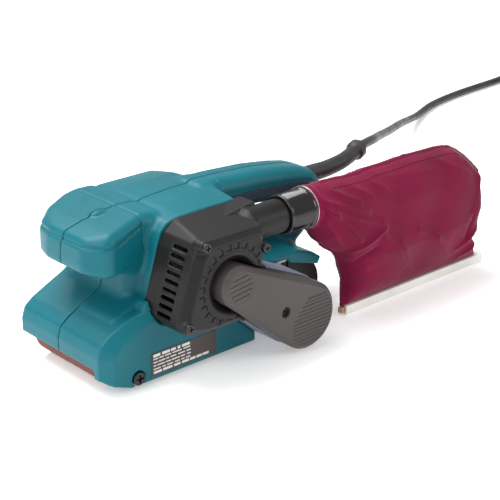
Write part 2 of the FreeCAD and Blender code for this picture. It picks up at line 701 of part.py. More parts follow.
def handle_solid():
    """The D-handle: a lofted bar from the body and a lofted leg to the deck."""
    width = 2 * S.handle_half_width
    sideways, upright, along = Vector(0, 1, 0), Vector(0, 0, 1), Vector(1, 0, 0)
    bar_sections = [rounded(Vector(x, 0, (top + low) / 2), sideways, upright, width,
                            top - low, 13) for x, top, low in HANDLE_BAR]
    leg_sections = [rounded(Vector((front + rear) / 2, 0, z), along, sideways,
                            rear - front, across, 10)
                    for z, front, rear, across in HANDLE_LEG]
    handle = Part.makeLoft(bar_sections, True, False)
    handle = handle.fuse(Part.makeLoft(leg_sections, True, False))
    foot = slab(outline((58, 50.5), (94, 50.5), (92, 55), (58, 60)), -40, 36)
    return handle.fuse(foot)


def body_solid():
    body = slab(outline((-86, 61), (-67, 121), (-25, 126.3), (11, 127.8), (11, 61)),
                S.housing_left_y, S.housing_right_y)
    right = edges_where(body, lambda b: b.YMin > S.housing_right_y - 0.1 and b.ZMax > 62)
    return body.makeFillet(9, right)


def skirt_solid():
    """Front skirt and side panel, with the chamfer between them."""
    left, right = S.skirt_left_y, S.skirt_right_y
    roof = slab(outline((-132, 19.9), (-131.6, 31.5), ((-129.2, 39.8), (-121.5, 46.2)),
                        (-93, 60.3), (-70, 63), (-70, 19.9)), left, right)
    roof = roof.cut(slab(outline((-129.6, 19), (-129.2, 31.5), ((-127.4, 38.4), (-120.2, 44.6)),
                                 (-92.4, 58.4), (-70, 60.8), (-69, 19)),
                         left + S.wall, right + 1))
    panel = slab(outline((-131, 21), (-131, 13), (-126, 9.5), (-108, 2.7), (14, 2.7),
                         (14, 41.2), (-60, 41.2), (-79.7, 45.4), (-87, 54.5), (-92, 60.3),
                         (-119, 46)), left, left + S.wall)
    corner = slab(outline((-131, 21), (-131, 13), (-126, 9.5), (-118, 6), (-118, 40),
                          (-127, 38)), left, S.housing_left_y + 0.6)
    skirt = roof.fuse([panel, corner])
    return skirt.removeSplitter()


HOUSING_SCREWS = ((-60, 109), (-2, 112), (2, 72), (-76, 72))


def make_housing():
    skirt = skirt_solid()
    neck = slab(outline((-93, 59), (-89, 70), (-88, 88), (-70, 88), (-70, 59)), -34, 44)
    deck_cover = box(-90, 14, S.housing_left_y, S.skirt_right_y, 60.6, 64)
    outer = skirt.fuse([neck, deck_cover, knob_solid(), body_solid(), handle_solid()])
    hollow = slab(outline((-80, 64), (-66, 117), ((-20, 123.5), (7.5, 124)), (7.5, 64)),
                  S.housing_left_y - 1, S.housing_right_y - S.wall)
    grip_hollow = box(-118, -84, -34, 38, 90, 111)
    handle_hollow = slab(outline((12, 121.5), ((62, 119), (112, 112)), (112, 100),
                                 (14, 100)), -14, 14)
    trigger_slot = box(27.6, 58.4, -7.4, 7.4, 88, 101)
    lock_slot = rod(40, 108, 5.2, S.handle_half_width - 19, S.handle_half_width + 1)
    cord_slot = Part.makeCylinder(6.5, 40, Vector(100, 0, 102), Vector(1, 0, 0))
    frame_room = slab(outline((-90, 0), (-90, 60.6), (60, 60.6), (93.3, 50.3), (93.3, 0)),
                      S.frame_wall_y - S.frame_wall - 0.2, 60)
    frame_room = frame_room.fuse(slab(cover_loop(1.1), -80, -51))
    frame_room = frame_room.fuse(slab(cover_profile(-0.2), -100, S.housing_left_y))
    seat_right = rod(motor_x, motor_z, S.bearing_radius, 46, 53)
    collar = rod(motor_x, motor_z, S.bearing_radius + 3, 46, 56).cut(seat_right)
    outer = outer.cut(hollow.fuse([grip_hollow, handle_hollow, trigger_slot, lock_slot,
                                   cord_slot, frame_room]))
    outer = outer.fuse(collar)
    for x, z in HOUSING_SCREWS:
        head = rod(x, z, 4.1, S.housing_right_y - 2.5, S.housing_right_y + 1)
        outer = outer.cut(head.fuse(rod(x, z, 1.6, S.housing_right_y - 4,
                                        S.housing_right_y - 2)))
    track = rod(-101.5, 8.6, 5.7, S.skirt_left_y - 1, S.skirt_left_y + 6)
    outer = outer.cut(track)
    for side, low, high in (("left", -200, 0), ("right", 0, 200)):
        half = outer.common(box(-200, 200, low, high, -50, 200))
        feature("housing_" + side, half.removeSplitter())


def make_trim():
    left = S.skirt_left_y
    body = design_body("rating_label")
    pad(body, rectangle(body, "label_outline", "XZ_Plane", ("-58", "15.5", str(-left)),
                        "64", "19"), "0.4")
    knob = Part.makeCylinder(5.4, 3.4)
    knob = knob.makeFillet(1.2, [e for e in knob.Edges if e.BoundBox.ZMin > 3])
    for long_x, long_y in ((3.4, 0.8), (0.8, 3.4)):
        knob = knob.cut(box(-long_x, long_x, -long_y, long_y, 1.4, 5))
    knob = knob.fuse(Part.makeCylinder(2.5, 12, Vector(0, 0, -12)))
    knob.Placement = Placement(Vector(-101.5, left + 2, 8.6),
                               Rotation(Vector(0, 0, 1), Vector(0, -1, 0)))
    feature("tracking_screw", knob)
    places = [Vector(x, S.housing_right_y - 2.5, z) for x, z in HOUSING_SCREWS]
    screws_at("housing_screws", places, Vector(0, 1, 0), head_radius=3.8,
              head_height=2.4, shank_radius=1.6, shank_length=1)
    rear = drive_x + 18.7
    hood = slab(outline((rear, 54.6), (rear + 16, 50.9), ((rear + 30, 42), (rear + 34.5, 26)),
                        (rear + 34.5, 12), (rear + 32, 12), (rear + 32, 26),
                        ((rear + 28, 40.5), (rear + 15.4, 48.4)), (rear, 52)),
                S.frame_wall_y, half_belt)
    side = slab(outline((rear, 54.6), (rear + 16, 50.9), ((rear + 30, 42), (rear + 34.5, 26)),
                        (rear + 34.5, 12), (rear + 8, 12), (rear + 8, 40), (rear, 47)),
                S.frame_wall_y, S.frame_wall_y + 2)
    hood = hood.fuse(side).removeSplitter()
    feature("rear_dust_hood", hood)


# ---------------------------------------------------------------- controls

def make_controls():
    trigger = box(28, 58, -7, 7, 90.5, 102)
    trigger = trigger.makeFillet(3, edges_where(trigger, lambda b: b.ZMax < 91))
    trigger = trigger.fuse(box(28, 58, -10, 10, 100.4, 102))
    feature("trigger", trigger)
    button_end = S.handle_half_width + 2.5
    feature("lock_button", rod(40, 108, 4.8, button_end - 8, button_end))
    publish(block("switch_body", ("26", "-10", "106.6"), ("38", "20", "7")), "switch_body")


# ---------------------------------------------------------------- dust bag

def make_dust_bag():
    axis = Vector(S.collar_start_x, S.nozzle_y, S.nozzle_z)
    along = Vector(1, 0, 0)
    length = S.collar_end_x - S.collar_start_x
    collar = Part.makeCylinder(S.collar_radius, length, axis, along)
    bore = S.nozzle_radius - 2 + S.fit_gap
    collar = collar.cut(Part.makeCylinder(bore, length, axis, along))
    feature("bag_collar", collar)
    start = S.collar_end_x
    end = start + S.bag_length
    side = slab(outline((start, 88), (start, 124), (end - 50, 126), (end - 16, 116),
                        (end - 8, 95), (end - 6, 52), (end - 14, 38), (end - 4, 8.5),
                        (start + 50, 8.5), (start + 44, 40), (start + 30, 62)), -130, 0)
    half = S.bag_thickness / 2

    def across(y, z):
        return Vector(start, S.nozzle_y + y, z)
    edges = [Part.LineSegment(across(-3, 8.5), across(3, 8.5)),
             Part.LineSegment(across(3, 8.5), across(half - 4, 60)),
             Part.Arc(across(half - 4, 60), across(half, 92), across(0, 126)),
             Part.Arc(across(0, 126), across(-half, 92), across(-half + 4, 60)),
             Part.LineSegment(across(-half + 4, 60), across(-3, 8.5))]
    section = Part.Face(Part.Wire([edge.toShape() for edge in edges]))
    feature("dust_bag", side.common(section.extrude(Vector(S.bag_length, 0, 0))))
    rail_x = start + 48
    rail = box(rail_x, rail_x + S.rail_length, S.nozzle_y - 4, S.nozzle_y + 4, 0.2,
               0.2 + S.rail_height)
    rail = rail.cut(box(rail_x, rail_x + S.rail_length, S.nozzle_y - 2.6, S.nozzle_y + 2.6,
                        1.6, 7))
    rail = rail.cut(box(rail_x, rail_x + S.rail_length, S.nozzle_y - 1, S.nozzle_y + 1,
                        5, 10))
    feature("bag_rail", rail)
    stick = box(rail_x - 4, rail_x + S.rail_length - 6, S.nozzle_y - 2.3, S.nozzle_y + 2.3,
                1.9, 6.7)
    feature("bag_stick", stick)


# ---------------------------------------------------------------- cord

GUARD_ROUTE = [(131, 0, 102), (152, 0, 102), (176, 1, 105), (201, 6, 110.7)]
CORD_ROUTE = [(201, 6, 110.7), (222, 13, 110), (256, 40, 98), (302, 77, 83),
              (360, 118, 66), (419, 160, 50), (482, 206, 32), (541, 247, 15),
              (590, 274, 5.5), (640, 297, 4.6), (700, 308, 4.6), (757, 313, 4.6),
              (802, 316, 4.6), (827, 319, 4.6)]
COIL_CENTRE = (866, 281)
COIL_MIDDLE_RADIUS = 44


def corner_radius(before, corner, after):
    into, out = corner - before, after - corner
    shorter = min(into.Length, out.Length)
    turn = into.getAngle(out)
    return 0.45 * shorter / math.tan(turn / 2), turn


def cord_path(route):
    """Straight runs joined by tangent arcs; also the arcs' radii."""
    points = [Vector(*point) for point in route]
    edges, radii = [], []
    here = points[0]
    for before, corner, after in zip(points, points[1:], points[2:]):
        radius, turn = corner_radius(before, corner, after)
        radii.append(radius)
        reach = radius * math.tan(turn / 2)
        into = (corner - before).normalize()
        out = (after - corner).normalize()
        start, end = corner - into * reach, corner + out * reach
        bisector = (out - into).normalize()
        centre = corner + bisector * (radius / math.cos(turn / 2))
        middle = centre - bisector * radius
        edges.append(Part.LineSegment(here, start).toShape())
        edges.append(Part.Arc(start, middle, end).toShape())
        here = end
    edges.append(Part.LineSegment(here, points[-1]).toShape())
    return Part.Wire(edges), radii


def tube(route, radius):
    path, radii = cord_path(route)
    first = Vector(*route[0])
    heading = (Vector(*route[1]) - first).normalize()
    ring_wire = Part.Wire(Part.Circle(first, heading, radius).toShape())
    solid = path.makePipeShell([ring_wire], True, False)
    section = math.pi * radius * radius
    print("tube: length %.1f, volume %.0f of %.0f, radii %s"
          % (path.Length, solid.Volume, section * path.Length,
             " ".join("%.0f" % each for each in radii)))
    return solid


def make_cord():
    feature("mains_cord", tube(CORD_ROUTE, S.cord_radius))
    guard = tube(GUARD_ROUTE, 6)
    tip, before = Vector(*GUARD_ROUTE[-1]), Vector(*GUARD_ROUTE[-2])
    heading = (tip - before).normalize()
    flange = Part.makeCylinder(7.6, 4, tip - heading * 4, heading)
    feature("cord_guard", guard.fuse(flange).removeSplitter())
    middle = Vector(COIL_CENTRE[0], COIL_CENTRE[1], 0.3)
    coil = Part.makeCylinder(COIL_MIDDLE_RADIUS + 10, 25, middle)
    coil = coil.makeFillet(6, coil.Edges[:1] + coil.Edges[2:3])
    coil = coil.cut(Part.makeCylinder(COIL_MIDDLE_RADIUS - 10, 30, middle))
    feature("cord_coil", coil)
    plug_z = 25.3 + 18
    start = Vector(COIL_CENTRE[0] - 26, COIL_CENTRE[1] - COIL_MIDDLE_RADIUS, plug_z)
    along = Vector(1, 0, 0)
    plug = Part.makeCylinder(18, 22, start + along * 26, along)
    plug = plug.fuse(Part.makeCone(6, 13, 26, start, along))
    feature("plug_body", plug.removeSplitter())
    pins = [Part.makeCylinder(2.4, 19, start + along * 48 + Vector(0, side * 9.5, 0), along)
            for side in (-1, 1)]
    feature("plug_pins", Part.Compound(pins))


# ---------------------------------------------------------------- assembly

make_sanding_belt()
make_drive_roller()
make_front_roller()
shank_start = make_fork()
feature("fork_spring", helix_spring(Vector(shank_start + 1, 0, front_z - 1), 8, 6.6, 0.8, 4))
floor_z, beam_x, beam_end = make_frame(shank_start)
make_platen(floor_z, beam_x, beam_end)
make_tension_lever()
make_gears()
make_pulleys()
make_toothed_belt()
make_motor()
make_gear_case()
make_belt_covers()
make_motor_cover()
make_housing()
make_trim()
make_controls()
make_dust_bag()
make_cord()

doc.recompute()
for thing in doc.Objects:
    if "Invalid" in thing.State or "Error" in thing.State:
        raise RuntimeError("%s did not compute" % thing.Label)
for node in NODES:
    if node.Shape.isNull() or not node.Shape.isValid():
        raise RuntimeError("%s has no valid shape" % node.Label)
    node.Shape.exportStep("parts/%s.step" % node.Label)
print("%d nodes written" % len(NODES))
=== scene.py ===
import json
import math
import bpy
import numpy as np
from mathutils import Matrix, Vector


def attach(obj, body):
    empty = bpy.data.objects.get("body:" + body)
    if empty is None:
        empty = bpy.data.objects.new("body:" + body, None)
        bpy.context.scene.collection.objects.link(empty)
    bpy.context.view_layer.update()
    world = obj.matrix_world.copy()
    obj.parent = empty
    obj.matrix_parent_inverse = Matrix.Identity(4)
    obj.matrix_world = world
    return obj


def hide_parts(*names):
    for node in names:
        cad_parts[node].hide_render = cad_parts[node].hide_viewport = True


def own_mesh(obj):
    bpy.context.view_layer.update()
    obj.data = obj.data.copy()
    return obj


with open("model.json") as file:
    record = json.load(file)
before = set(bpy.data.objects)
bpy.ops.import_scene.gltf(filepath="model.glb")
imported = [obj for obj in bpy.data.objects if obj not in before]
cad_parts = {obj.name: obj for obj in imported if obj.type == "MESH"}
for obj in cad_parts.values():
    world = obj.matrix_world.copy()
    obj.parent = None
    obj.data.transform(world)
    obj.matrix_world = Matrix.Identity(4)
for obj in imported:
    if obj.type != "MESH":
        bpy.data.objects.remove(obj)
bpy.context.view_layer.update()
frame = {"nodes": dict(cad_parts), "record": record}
NODES = frame["nodes"]
MM = 0.001


# ---- finishes

def node_of(tree, kind, inputs=None, **settings):
    """One shader node with its settings and unlinked input values."""
    made = tree.nodes.new(kind)
    for name, value in settings.items():
        setattr(made, name, value)
    for name, value in (inputs or {}).items():
        made.inputs[name].default_value = value
    return made


def new_finish(name, **surface):
    """A material with its Principled node, whose even values are given by name."""
    finish = bpy.data.materials.new(name)
    finish.use_nodes = True
    tree = finish.node_tree
    shader = tree.nodes["Principled BSDF"]
    for socket, value in surface.items():
        shader.inputs[socket.replace("_", " ")].default_value = value
    return finish, tree, shader


def object_pattern(tree, scale=(1, 1, 1)):
    """The piece's own coordinates, stretched by a scale for each axis."""
    place = node_of(tree, "ShaderNodeTexCoord")
    mapping = node_of(tree, "ShaderNodeMapping", {"Scale": scale})
    tree.links.new(place.outputs["Object"], mapping.inputs["Vector"])
    return mapping.outputs["Vector"]


def noise(tree, vector, scale, detail=3.0, roughness=0.55):
    made = node_of(tree, "ShaderNodeTexNoise",
                   {"Scale": scale, "Detail": detail, "Roughness": roughness})
    tree.links.new(vector, made.inputs["Vector"])
    return made.outputs["Fac"]


def spread(tree, factor, low, high, start=0.35, end=0.65):
    """Map a factor from start..end to low..high."""
    made = node_of(tree, "ShaderNodeMapRange",
                   {"From Min": start, "From Max": end, "To Min": low, "To Max": high})
    tree.links.new(factor, made.inputs["Value"])
    return made.outputs["Result"]


def two_tones(tree, factor, dark, light, start=0.35, end=0.65):
    """A colour that runs from dark to light as the factor runs from start to end."""
    ramp = node_of(tree, "ShaderNodeValToRGB")
    ramp.color_ramp.elements[0].position = start
    ramp.color_ramp.elements[0].color = (*dark, 1)
    ramp.color_ramp.elements[1].position = end
    ramp.color_ramp.elements[1].color = (*light, 1)
    tree.links.new(factor, ramp.inputs["Fac"])
    return ramp.outputs["Color"]


def toned(colour, factor, lift=0.0):
    """A lighter or darker version of a colour."""
    return tuple(min(1, channel * factor + lift) for channel in colour)


def relief(tree, shader, height, depth, strength=0.6):
    bump = node_of(tree, "ShaderNodeBump", {"Strength": strength, "Distance": depth})
    tree.links.new(height, bump.inputs["Height"])
    tree.links.new(bump.outputs["Normal"], shader.inputs["Normal"])


def moulded_plastic(name, colour, roughness=0.42, grain=2200, depth=0.00012, coat=0.0):
    """Plastic with a fine moulded grain and faint cloudy wear."""
    finish, tree, shader = new_finish(name, Coat_Weight=coat, Coat_Roughness=0.15,
                                      Specular_IOR_Level=0.26)
    place = object_pattern(tree)
    cloud = noise(tree, place, 14, 4)
    dark = toned(colour, 0.9)
    light = toned(colour, 1.1, 0.002)
    tree.links.new(two_tones(tree, cloud, dark, light), shader.inputs["Base Color"])
    fine = noise(tree, place, grain, 2)
    rough = spread(tree, cloud, roughness - 0.05, roughness + 0.06)
    tree.links.new(rough, shader.inputs["Roughness"])
    relief(tree, shader, fine, depth)
    return finish


def worked_metal(name, colour, roughness=0.32, stretch=(1, 1, 1), scale=400, depth=0.00005):
    """Metal with fine marks left by its making."""
    finish, tree, shader = new_finish(name, Metallic=1.0)
    place = object_pattern(tree, stretch)
    marks = noise(tree, place, scale, 5, 0.7)
    dark = toned(colour, 0.78)
    tree.links.new(two_tones(tree, marks, dark, colour), shader.inputs["Base Color"])
    tree.links.new(spread(tree, marks, roughness - 0.08, roughness + 0.14),
                   shader.inputs["Roughness"])
    relief(tree, shader, marks, depth)
    return finish


def woven_cloth(name, colour):
    """Tightly woven cloth: two crossed sets of threads, sheen and soft fading."""
    finish, tree, shader = new_finish(name, Sheen_Weight=0.12, Sheen_Roughness=0.4,
                                      Specular_IOR_Level=0.12)
    place = object_pattern(tree)
    threads = []
    for turn in (0.0, math.pi / 2):
        spin = node_of(tree, "ShaderNodeMapping", {"Rotation": (0.0, turn, 0.0)})
        tree.links.new(place, spin.inputs["Vector"])
        wave = node_of(tree, "ShaderNodeTexWave",
                       {"Scale": 330.0, "Distortion": 1.2, "Detail": 1.0,
                        "Detail Scale": 2.0}, wave_type="BANDS", bands_direction="X")
        tree.links.new(spin.outputs["Vector"], wave.inputs["Vector"])
        threads.append(wave.outputs["Fac"])
    weave = node_of(tree, "ShaderNodeMath", operation="MULTIPLY")
    tree.links.new(threads[0], weave.inputs[0])
    tree.links.new(threads[1], weave.inputs[1])
    cloud = noise(tree, place, 22, 5)
    mixed = node_of(tree, "ShaderNodeMath", operation="ADD")
    tree.links.new(spread(tree, weave.outputs["Value"], 0.0, 0.45, 0.0, 1.0),
                   mixed.inputs[0])
    tree.links.new(spread(tree, cloud, 0.1, 0.5), mixed.inputs[1])
    dark = toned(colour, 0.72)
    light = toned(colour, 1.3)
    tree.links.new(two_tones(tree, mixed.outputs["Value"], dark, light, 0.1, 0.9),
                   shader.inputs["Base Color"])
    tree.links.new(spread(tree, cloud, 0.7, 0.88), shader.inputs["Roughness"])
    relief(tree, shader, weave.outputs["Value"], 0.0003, 0.5)
    return finish


def abrasive_cloth(name, colour):
    """Cloth with sharp grains of abrasive on it."""
    finish, tree, shader = new_finish(name)
    place = object_pattern(tree)
    grit = noise(tree, place, 2600, 3, 0.8)
    dark = toned(colour, 0.45)
    light = toned(colour, 1.7)
    tree.links.new(two_tones(tree, grit, dark, light), shader.inputs["Base Color"])
    tree.links.new(spread(tree, grit, 0.55, 0.95), shader.inputs["Roughness"])
    relief(tree, shader, grit, 0.0005, 0.9)
    return finish


def plain_wood(name, colour):
    """Bare wood with its grain along X."""
    finish, tree, shader = new_finish(name)
    grain = noise(tree, object_pattern(tree, (0.06, 1, 1)), 900, 4)
    dark = toned(colour, 0.6)
    tree.links.new(two_tones(tree, grain, dark, colour), shader.inputs["Base Color"])
    tree.links.new(spread(tree, grain, 0.55, 0.75), shader.inputs["Roughness"])
    relief(tree, shader, grain, 0.0002)
    return finish


def soft_rubber(name, colour, roughness=0.5):
    """Dull rubber with a little dust on it."""
    finish, tree, shader = new_finish(name, Specular_IOR_Level=0.4)
    place = object_pattern(tree)
    dust = noise(tree, place, 60, 5)
    light = toned(colour, 1.7, 0.004)
    tree.links.new(two_tones(tree, dust, colour, light), shader.inputs["Base Color"])
    tree.links.new(spread(tree, dust, roughness - 0.08, roughness + 0.12),
                   shader.inputs["Roughness"])
    relief(tree, shader, noise(tree, place, 1500, 2), 0.00008)
    return finish


TEAL = moulded_plastic("teal moulded plastic", (0.001, 0.125, 0.158), 0.4)
TEAL_GRAINED = moulded_plastic("grained grip plastic", (0.024, 0.05, 0.07), 0.62, 900,
                               0.0004)
BLACK = moulded_plastic("black moulded plastic", (0.010, 0.0093, 0.0098), 0.42)
GREY = moulded_plastic("dark grey satin plastic", (0.064, 0.056, 0.054), 0.42)
LILAC = moulded_plastic("pale grey cover plastic", (0.26, 0.27, 0.36), 0.4)
WHITE = moulded_plastic("white rail plastic", (0.78, 0.77, 0.73), 0.4)
GLOSS = moulded_plastic("glossy black plastic", (0.008, 0.007, 0.008), 0.2, 600, 0.00002,
                        0.6)
LABEL = moulded_plastic("printed foil", (0.075, 0.062, 0.058), 0.4)
CAST = worked_metal("die-cast aluminium", (0.42, 0.43, 0.45), 0.5, scale=900, depth=0.0001)
STEEL = worked_metal("turned steel", (0.56, 0.56, 0.57), 0.3, (1, 40, 1), 60)
DARK_STEEL = worked_metal("blackened steel", (0.06, 0.06, 0.065), 0.36)
COPPER = worked_metal("enamelled copper wire", (0.62, 0.26, 0.12), 0.3, (1, 1, 30), 80)
BRASS = worked_metal("plated brass", (0.78, 0.6, 0.3), 0.22)
RUBBER = soft_rubber("roller rubber", (0.02, 0.02, 0.021), 0.62)
CORD_RUBBER = soft_rubber("cord rubber", (0.022, 0.022, 0.025), 0.42)
GRAPHITE = soft_rubber("graphite cloth", (0.03, 0.03, 0.033), 0.5)
ABRASIVE = abrasive_cloth("coated abrasive", (0.15, 0.04, 0.025))
BURGUNDY = woven_cloth("burgundy bag cloth", (0.175, 0.005, 0.037))
THREAD = woven_cloth("dark seam thread", (0.06, 0.004, 0.014))
DARK_LINE = moulded_plastic("dark moulded line", (0.006, 0.006, 0.006), 0.5)
PRINT = moulded_plastic("white print", (0.72, 0.72, 0.70), 0.5)
WOOD = plain_wood("plain wood", (0.5, 0.33, 0.18))

SLOT_FINISHES = {
    "teal_plastic": TEAL, "black_plastic": BLACK, "grey_cover": GREY, "lilac_cover": LILAC,
    "cast_frame": CAST, "steel": STEEL, "screw_steel": DARK_STEEL, "rubber": RUBBER,
    "abrasive": ABRASIVE, "label": LABEL, "copper": COPPER, "graphite": GRAPHITE,
    "bag_cloth": BURGUNDY, "collar": GLOSS, "white_plastic": WHITE, "wood": WOOD,
    "cord_rubber": CORD_RUBBER, "brass": BRASS,
}


def finish_the_frame():
    """Give every CAD node the finish that its record slot asks for."""
    for subpart in frame["record"]["subparts"]:
        node = NODES[subpart["node"]]
        finish = SLOT_FINISHES[subpart["material_slot"]]
        if not node.data.materials:
            node.data.materials.append(finish)
        for index in range(len(node.data.materials)):
            node.data.materials[index] = finish


# ---- meshes

def into_scene(made):
    bpy.context.scene.collection.objects.link(made)


def mesh_piece(name, vertices, faces, finish, smooth=True):
    """A mesh object at the origin, with its place in its vertices."""
    mesh = bpy.data.meshes.new(name)
    mesh.from_pydata([tuple(v) for v in vertices], [], [tuple(f) for f in faces])
    mesh.validate()
    mesh.update()
    mesh.materials.append(finish)
    if smooth:
        mesh.shade_smooth()
    piece = bpy.data.objects.new(name, mesh)
    into_scene(piece)
    return piece


class Field:
    """A block of space, in millimetres, in which solids are distance fields."""

    def __init__(self, low, high, cell):
        self.low, self.cell = np.array(low, float), cell
        counts = [int(math.ceil((b - a) / cell)) + 1 for a, b in zip(low, high)]
        axes = [a + cell * np.arange(n) for a, n in zip(low, counts)]
        self.x = axes[0][:, None, None]
        self.y = axes[1][None, :, None]
        self.z = axes[2][None, None, :]

    def profile(self, points, round_corners=0.0):
        """Signed distance to an (x, z) polygon; corners may be rounded outwards."""
        return polygon_distance(self.x, self.z, points) - round_corners

    def plan(self, points, round_corners=0.0):
        return polygon_distance(self.x, self.y, points) - round_corners

    def section(self, points, round_corners=0.0):
        return polygon_distance(self.y, self.z, points) - round_corners

    def between(self, low, high):
        """Distance outside the slab of Y from low to high."""
        return np.abs(self.y - (low + high) / 2) - (high - low) / 2


def polygon_distance(u, v, points):
    """Signed distance from (u, v) to a polygon, negative inside."""
    nearest = np.full(np.broadcast(u, v).shape, 1e12)
    inside = np.zeros(nearest.shape, bool)
    for (u1, v1), (u2, v2) in zip(points, points[1:] + points[:1]):
        du, dv = u2 - u1, v2 - v1
        along = ((u - u1) * du + (v - v1) * dv) / (du * du + dv * dv)
        along = np.clip(along, 0, 1)
        gap = (u - u1 - along * du) ** 2 + (v - v1 - along * dv) ** 2
        nearest = np.minimum(nearest, gap)
        if v1 != v2:
            crosses = (v1 > v) != (v2 > v)
            inside ^= crosses & (u < u1 + (v - v1) * du / dv)
    return np.where(inside, -1, 1) * np.sqrt(nearest)


def rounded_both(a, b, radius):
    """The overlap of two solids, with its new edge rounded to a radius."""
    a, b = a + radius, b + radius
    outside = np.sqrt(np.maximum(a, 0) ** 2 + np.maximum(b, 0) ** 2)
    return np.minimum(np.maximum(a, b), 0) + outside - radius


def joined(a, b, radius):
    """Two solids with the corner between them filled to about a radius."""
    mix = np.clip(0.5 + 0.5 * (b - a) / radius, 0, 1)
    return b * (1 - mix) + a * mix - radius * mix * (1 - mix)


def cut(a, b):
    """One solid with another taken out of it, with a sharp edge."""
    return np.maximum(a, -b)


def without(a, b, radius=0.6):
    """One solid with another taken out of it, and the new edge rounded."""
    return rounded_both(a, -b, radius)


def skin_of(space, field):
    """Vertices and quads of the field's zero surface, by naive surface nets."""
    field = np.ascontiguousarray(np.broadcast_to(field, (
        space.x.size, space.y.size, space.z.size)))
    cells = np.array(field.shape) - 1
    total = int(np.prod(cells))
    sums, counts, rings = np.zeros((3, total)), np.zeros(total), []
    for axis in range(3):
        start = [slice(None)] * 3
        end = [slice(None)] * 3
        start[axis], end[axis] = slice(None, -1), slice(1, None)
        a, b = field[tuple(start)], field[tuple(end)]
        where = np.argwhere((a < 0) != (b < 0))
        at_a, at_b = a[tuple(where.T)], b[tuple(where.T)]
        place = where.astype(float)
        place[:, axis] += at_a / (at_a - at_b)
        u, v = (axis + 1) % 3, (axis + 2) % 3
        around = []
        for step_u, step_v in ((0, 0), (1, 0), (1, 1), (0, 1)):
            cell = where.copy()
            cell[:, u] -= step_u
            cell[:, v] -= step_v
            flat = (cell[:, 0] * cells[1] + cell[:, 1]) * cells[2] + cell[:, 2]
            around.append(flat)
            for part in range(3):
                sums[part] += np.bincount(flat, place[:, part], total)
            counts += np.bincount(flat, minlength=total)
        ring = np.stack(around, 1)
        rings.append(np.where((at_a < 0)[:, None], ring, ring[:, ::-1]))
    used = np.flatnonzero(counts)
    number = np.full(total, -1)
    number[used] = np.arange(used.size)
    vertices = (sums[:, used] / counts[used]).T * space.cell + space.low
    return vertices * MM, number[np.concatenate(rings)]


def shell_piece(name, space, field, finish, node, body):
    """The skin of a field as a piece that stands for a CAD node."""
    vertices, faces = skin_of(space, field)
    piece = mesh_piece(name, vertices, faces, finish)
    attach(piece, body)
    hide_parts(node)
    return piece


def chamfered(a, b, leg):
    """The overlap of two solids with a flat bevel where their faces meet."""
    return np.maximum(np.maximum(a, b), (a + b + leg) / math.sqrt(2))


def groove(solid, line, half_width, depth):
    """Cut a shallow groove where a line field crosses the solid's skin."""
    cutter = np.maximum(np.abs(line) - half_width, -(solid + depth))
    return cut(solid, cutter)


# ---- motor and belt covers

BELT_COVER_ENDS = ((-36.5, 76.5, 16.3), (35.5, 31.5, 27.8))
UPPER_END_X, UPPER_END_Z = BELT_COVER_ENDS[0][:2]
COVER_FACE_Y = -92.5
COVER_INNER_Y = -45
COVER_BEVEL = 6.6
COVER_SCREWS = ((-62.5, 112.5), (-4.5, 97.5), (-79.5, 54))
AIR_SLOTS, AIR_SLOT_TOP, AIR_SLOT_STEP = 9, 106.5, 6.1
BELT_COVER_FACE_Y = -101.3
BELT_COVER_SPLIT_Y = -79
RIB_HALF_WIDTH, RIB_DEPTH = 0.55, 0.8
NOZZLE = (-67, 107)


def belt_cover_field(space):
    """Distance to the outline round the cover's two unequal ends."""
    (x1, z1, r1), (x2, z2, r2) = BELT_COVER_ENDS
    run = math.hypot(x2 - x1, z2 - z1)
    along = ((space.x - x1) * (x2 - x1) + (space.z - z1) * (z2 - z1)) / run
    aside = np.abs((space.x - x1) * (z2 - z1) - (space.z - z1) * (x2 - x1)) / run
    slope = (r2 - r1) / run
    level = math.sqrt(1 - slope * slope)
    place = along + aside * slope / level
    share = np.clip(place / run, 0, 1)
    return np.hypot(along - share * run, aside) - (r1 + share * (r2 - r1))


def from_upper_end(space):
    """Distance, seen from the side, to the middle of the belt cover's upper end."""
    return np.hypot(space.x - UPPER_END_X, space.z - UPPER_END_Z)


def motor_cover_outside(space, side, across):
    """The bevelled block with the dust duct, its spout and the lip on top."""
    x, y, z = space.x, space.y, space.z
    cover = chamfered(side, COVER_FACE_Y - y, COVER_BEVEL)
    cover = rounded_both(cover, across, 1.2)
    pipe = np.hypot(y - NOZZLE[0], z - NOZZLE[1])
    scoop = pipe - 13.6 + 0.75 * np.maximum(-2 - x, 0)
    duct = rounded_both(scoop, np.maximum(-30 - x, x - 33), 1.0)
    cover = joined(cover, duct, 2.0)
    spout = np.maximum(pipe - 11.6, np.maximum(-x, x - 50))
    lip = space.profile([(-26, 112), (-26, 117), (11.4, 122.6), (12.4, 121.4),
                         (2, 114.5), (-6, 106)])
    lip = rounded_both(lip, space.between(-63, -44.9), 0.6)
    return np.minimum(np.minimum(cover, spout), lip)


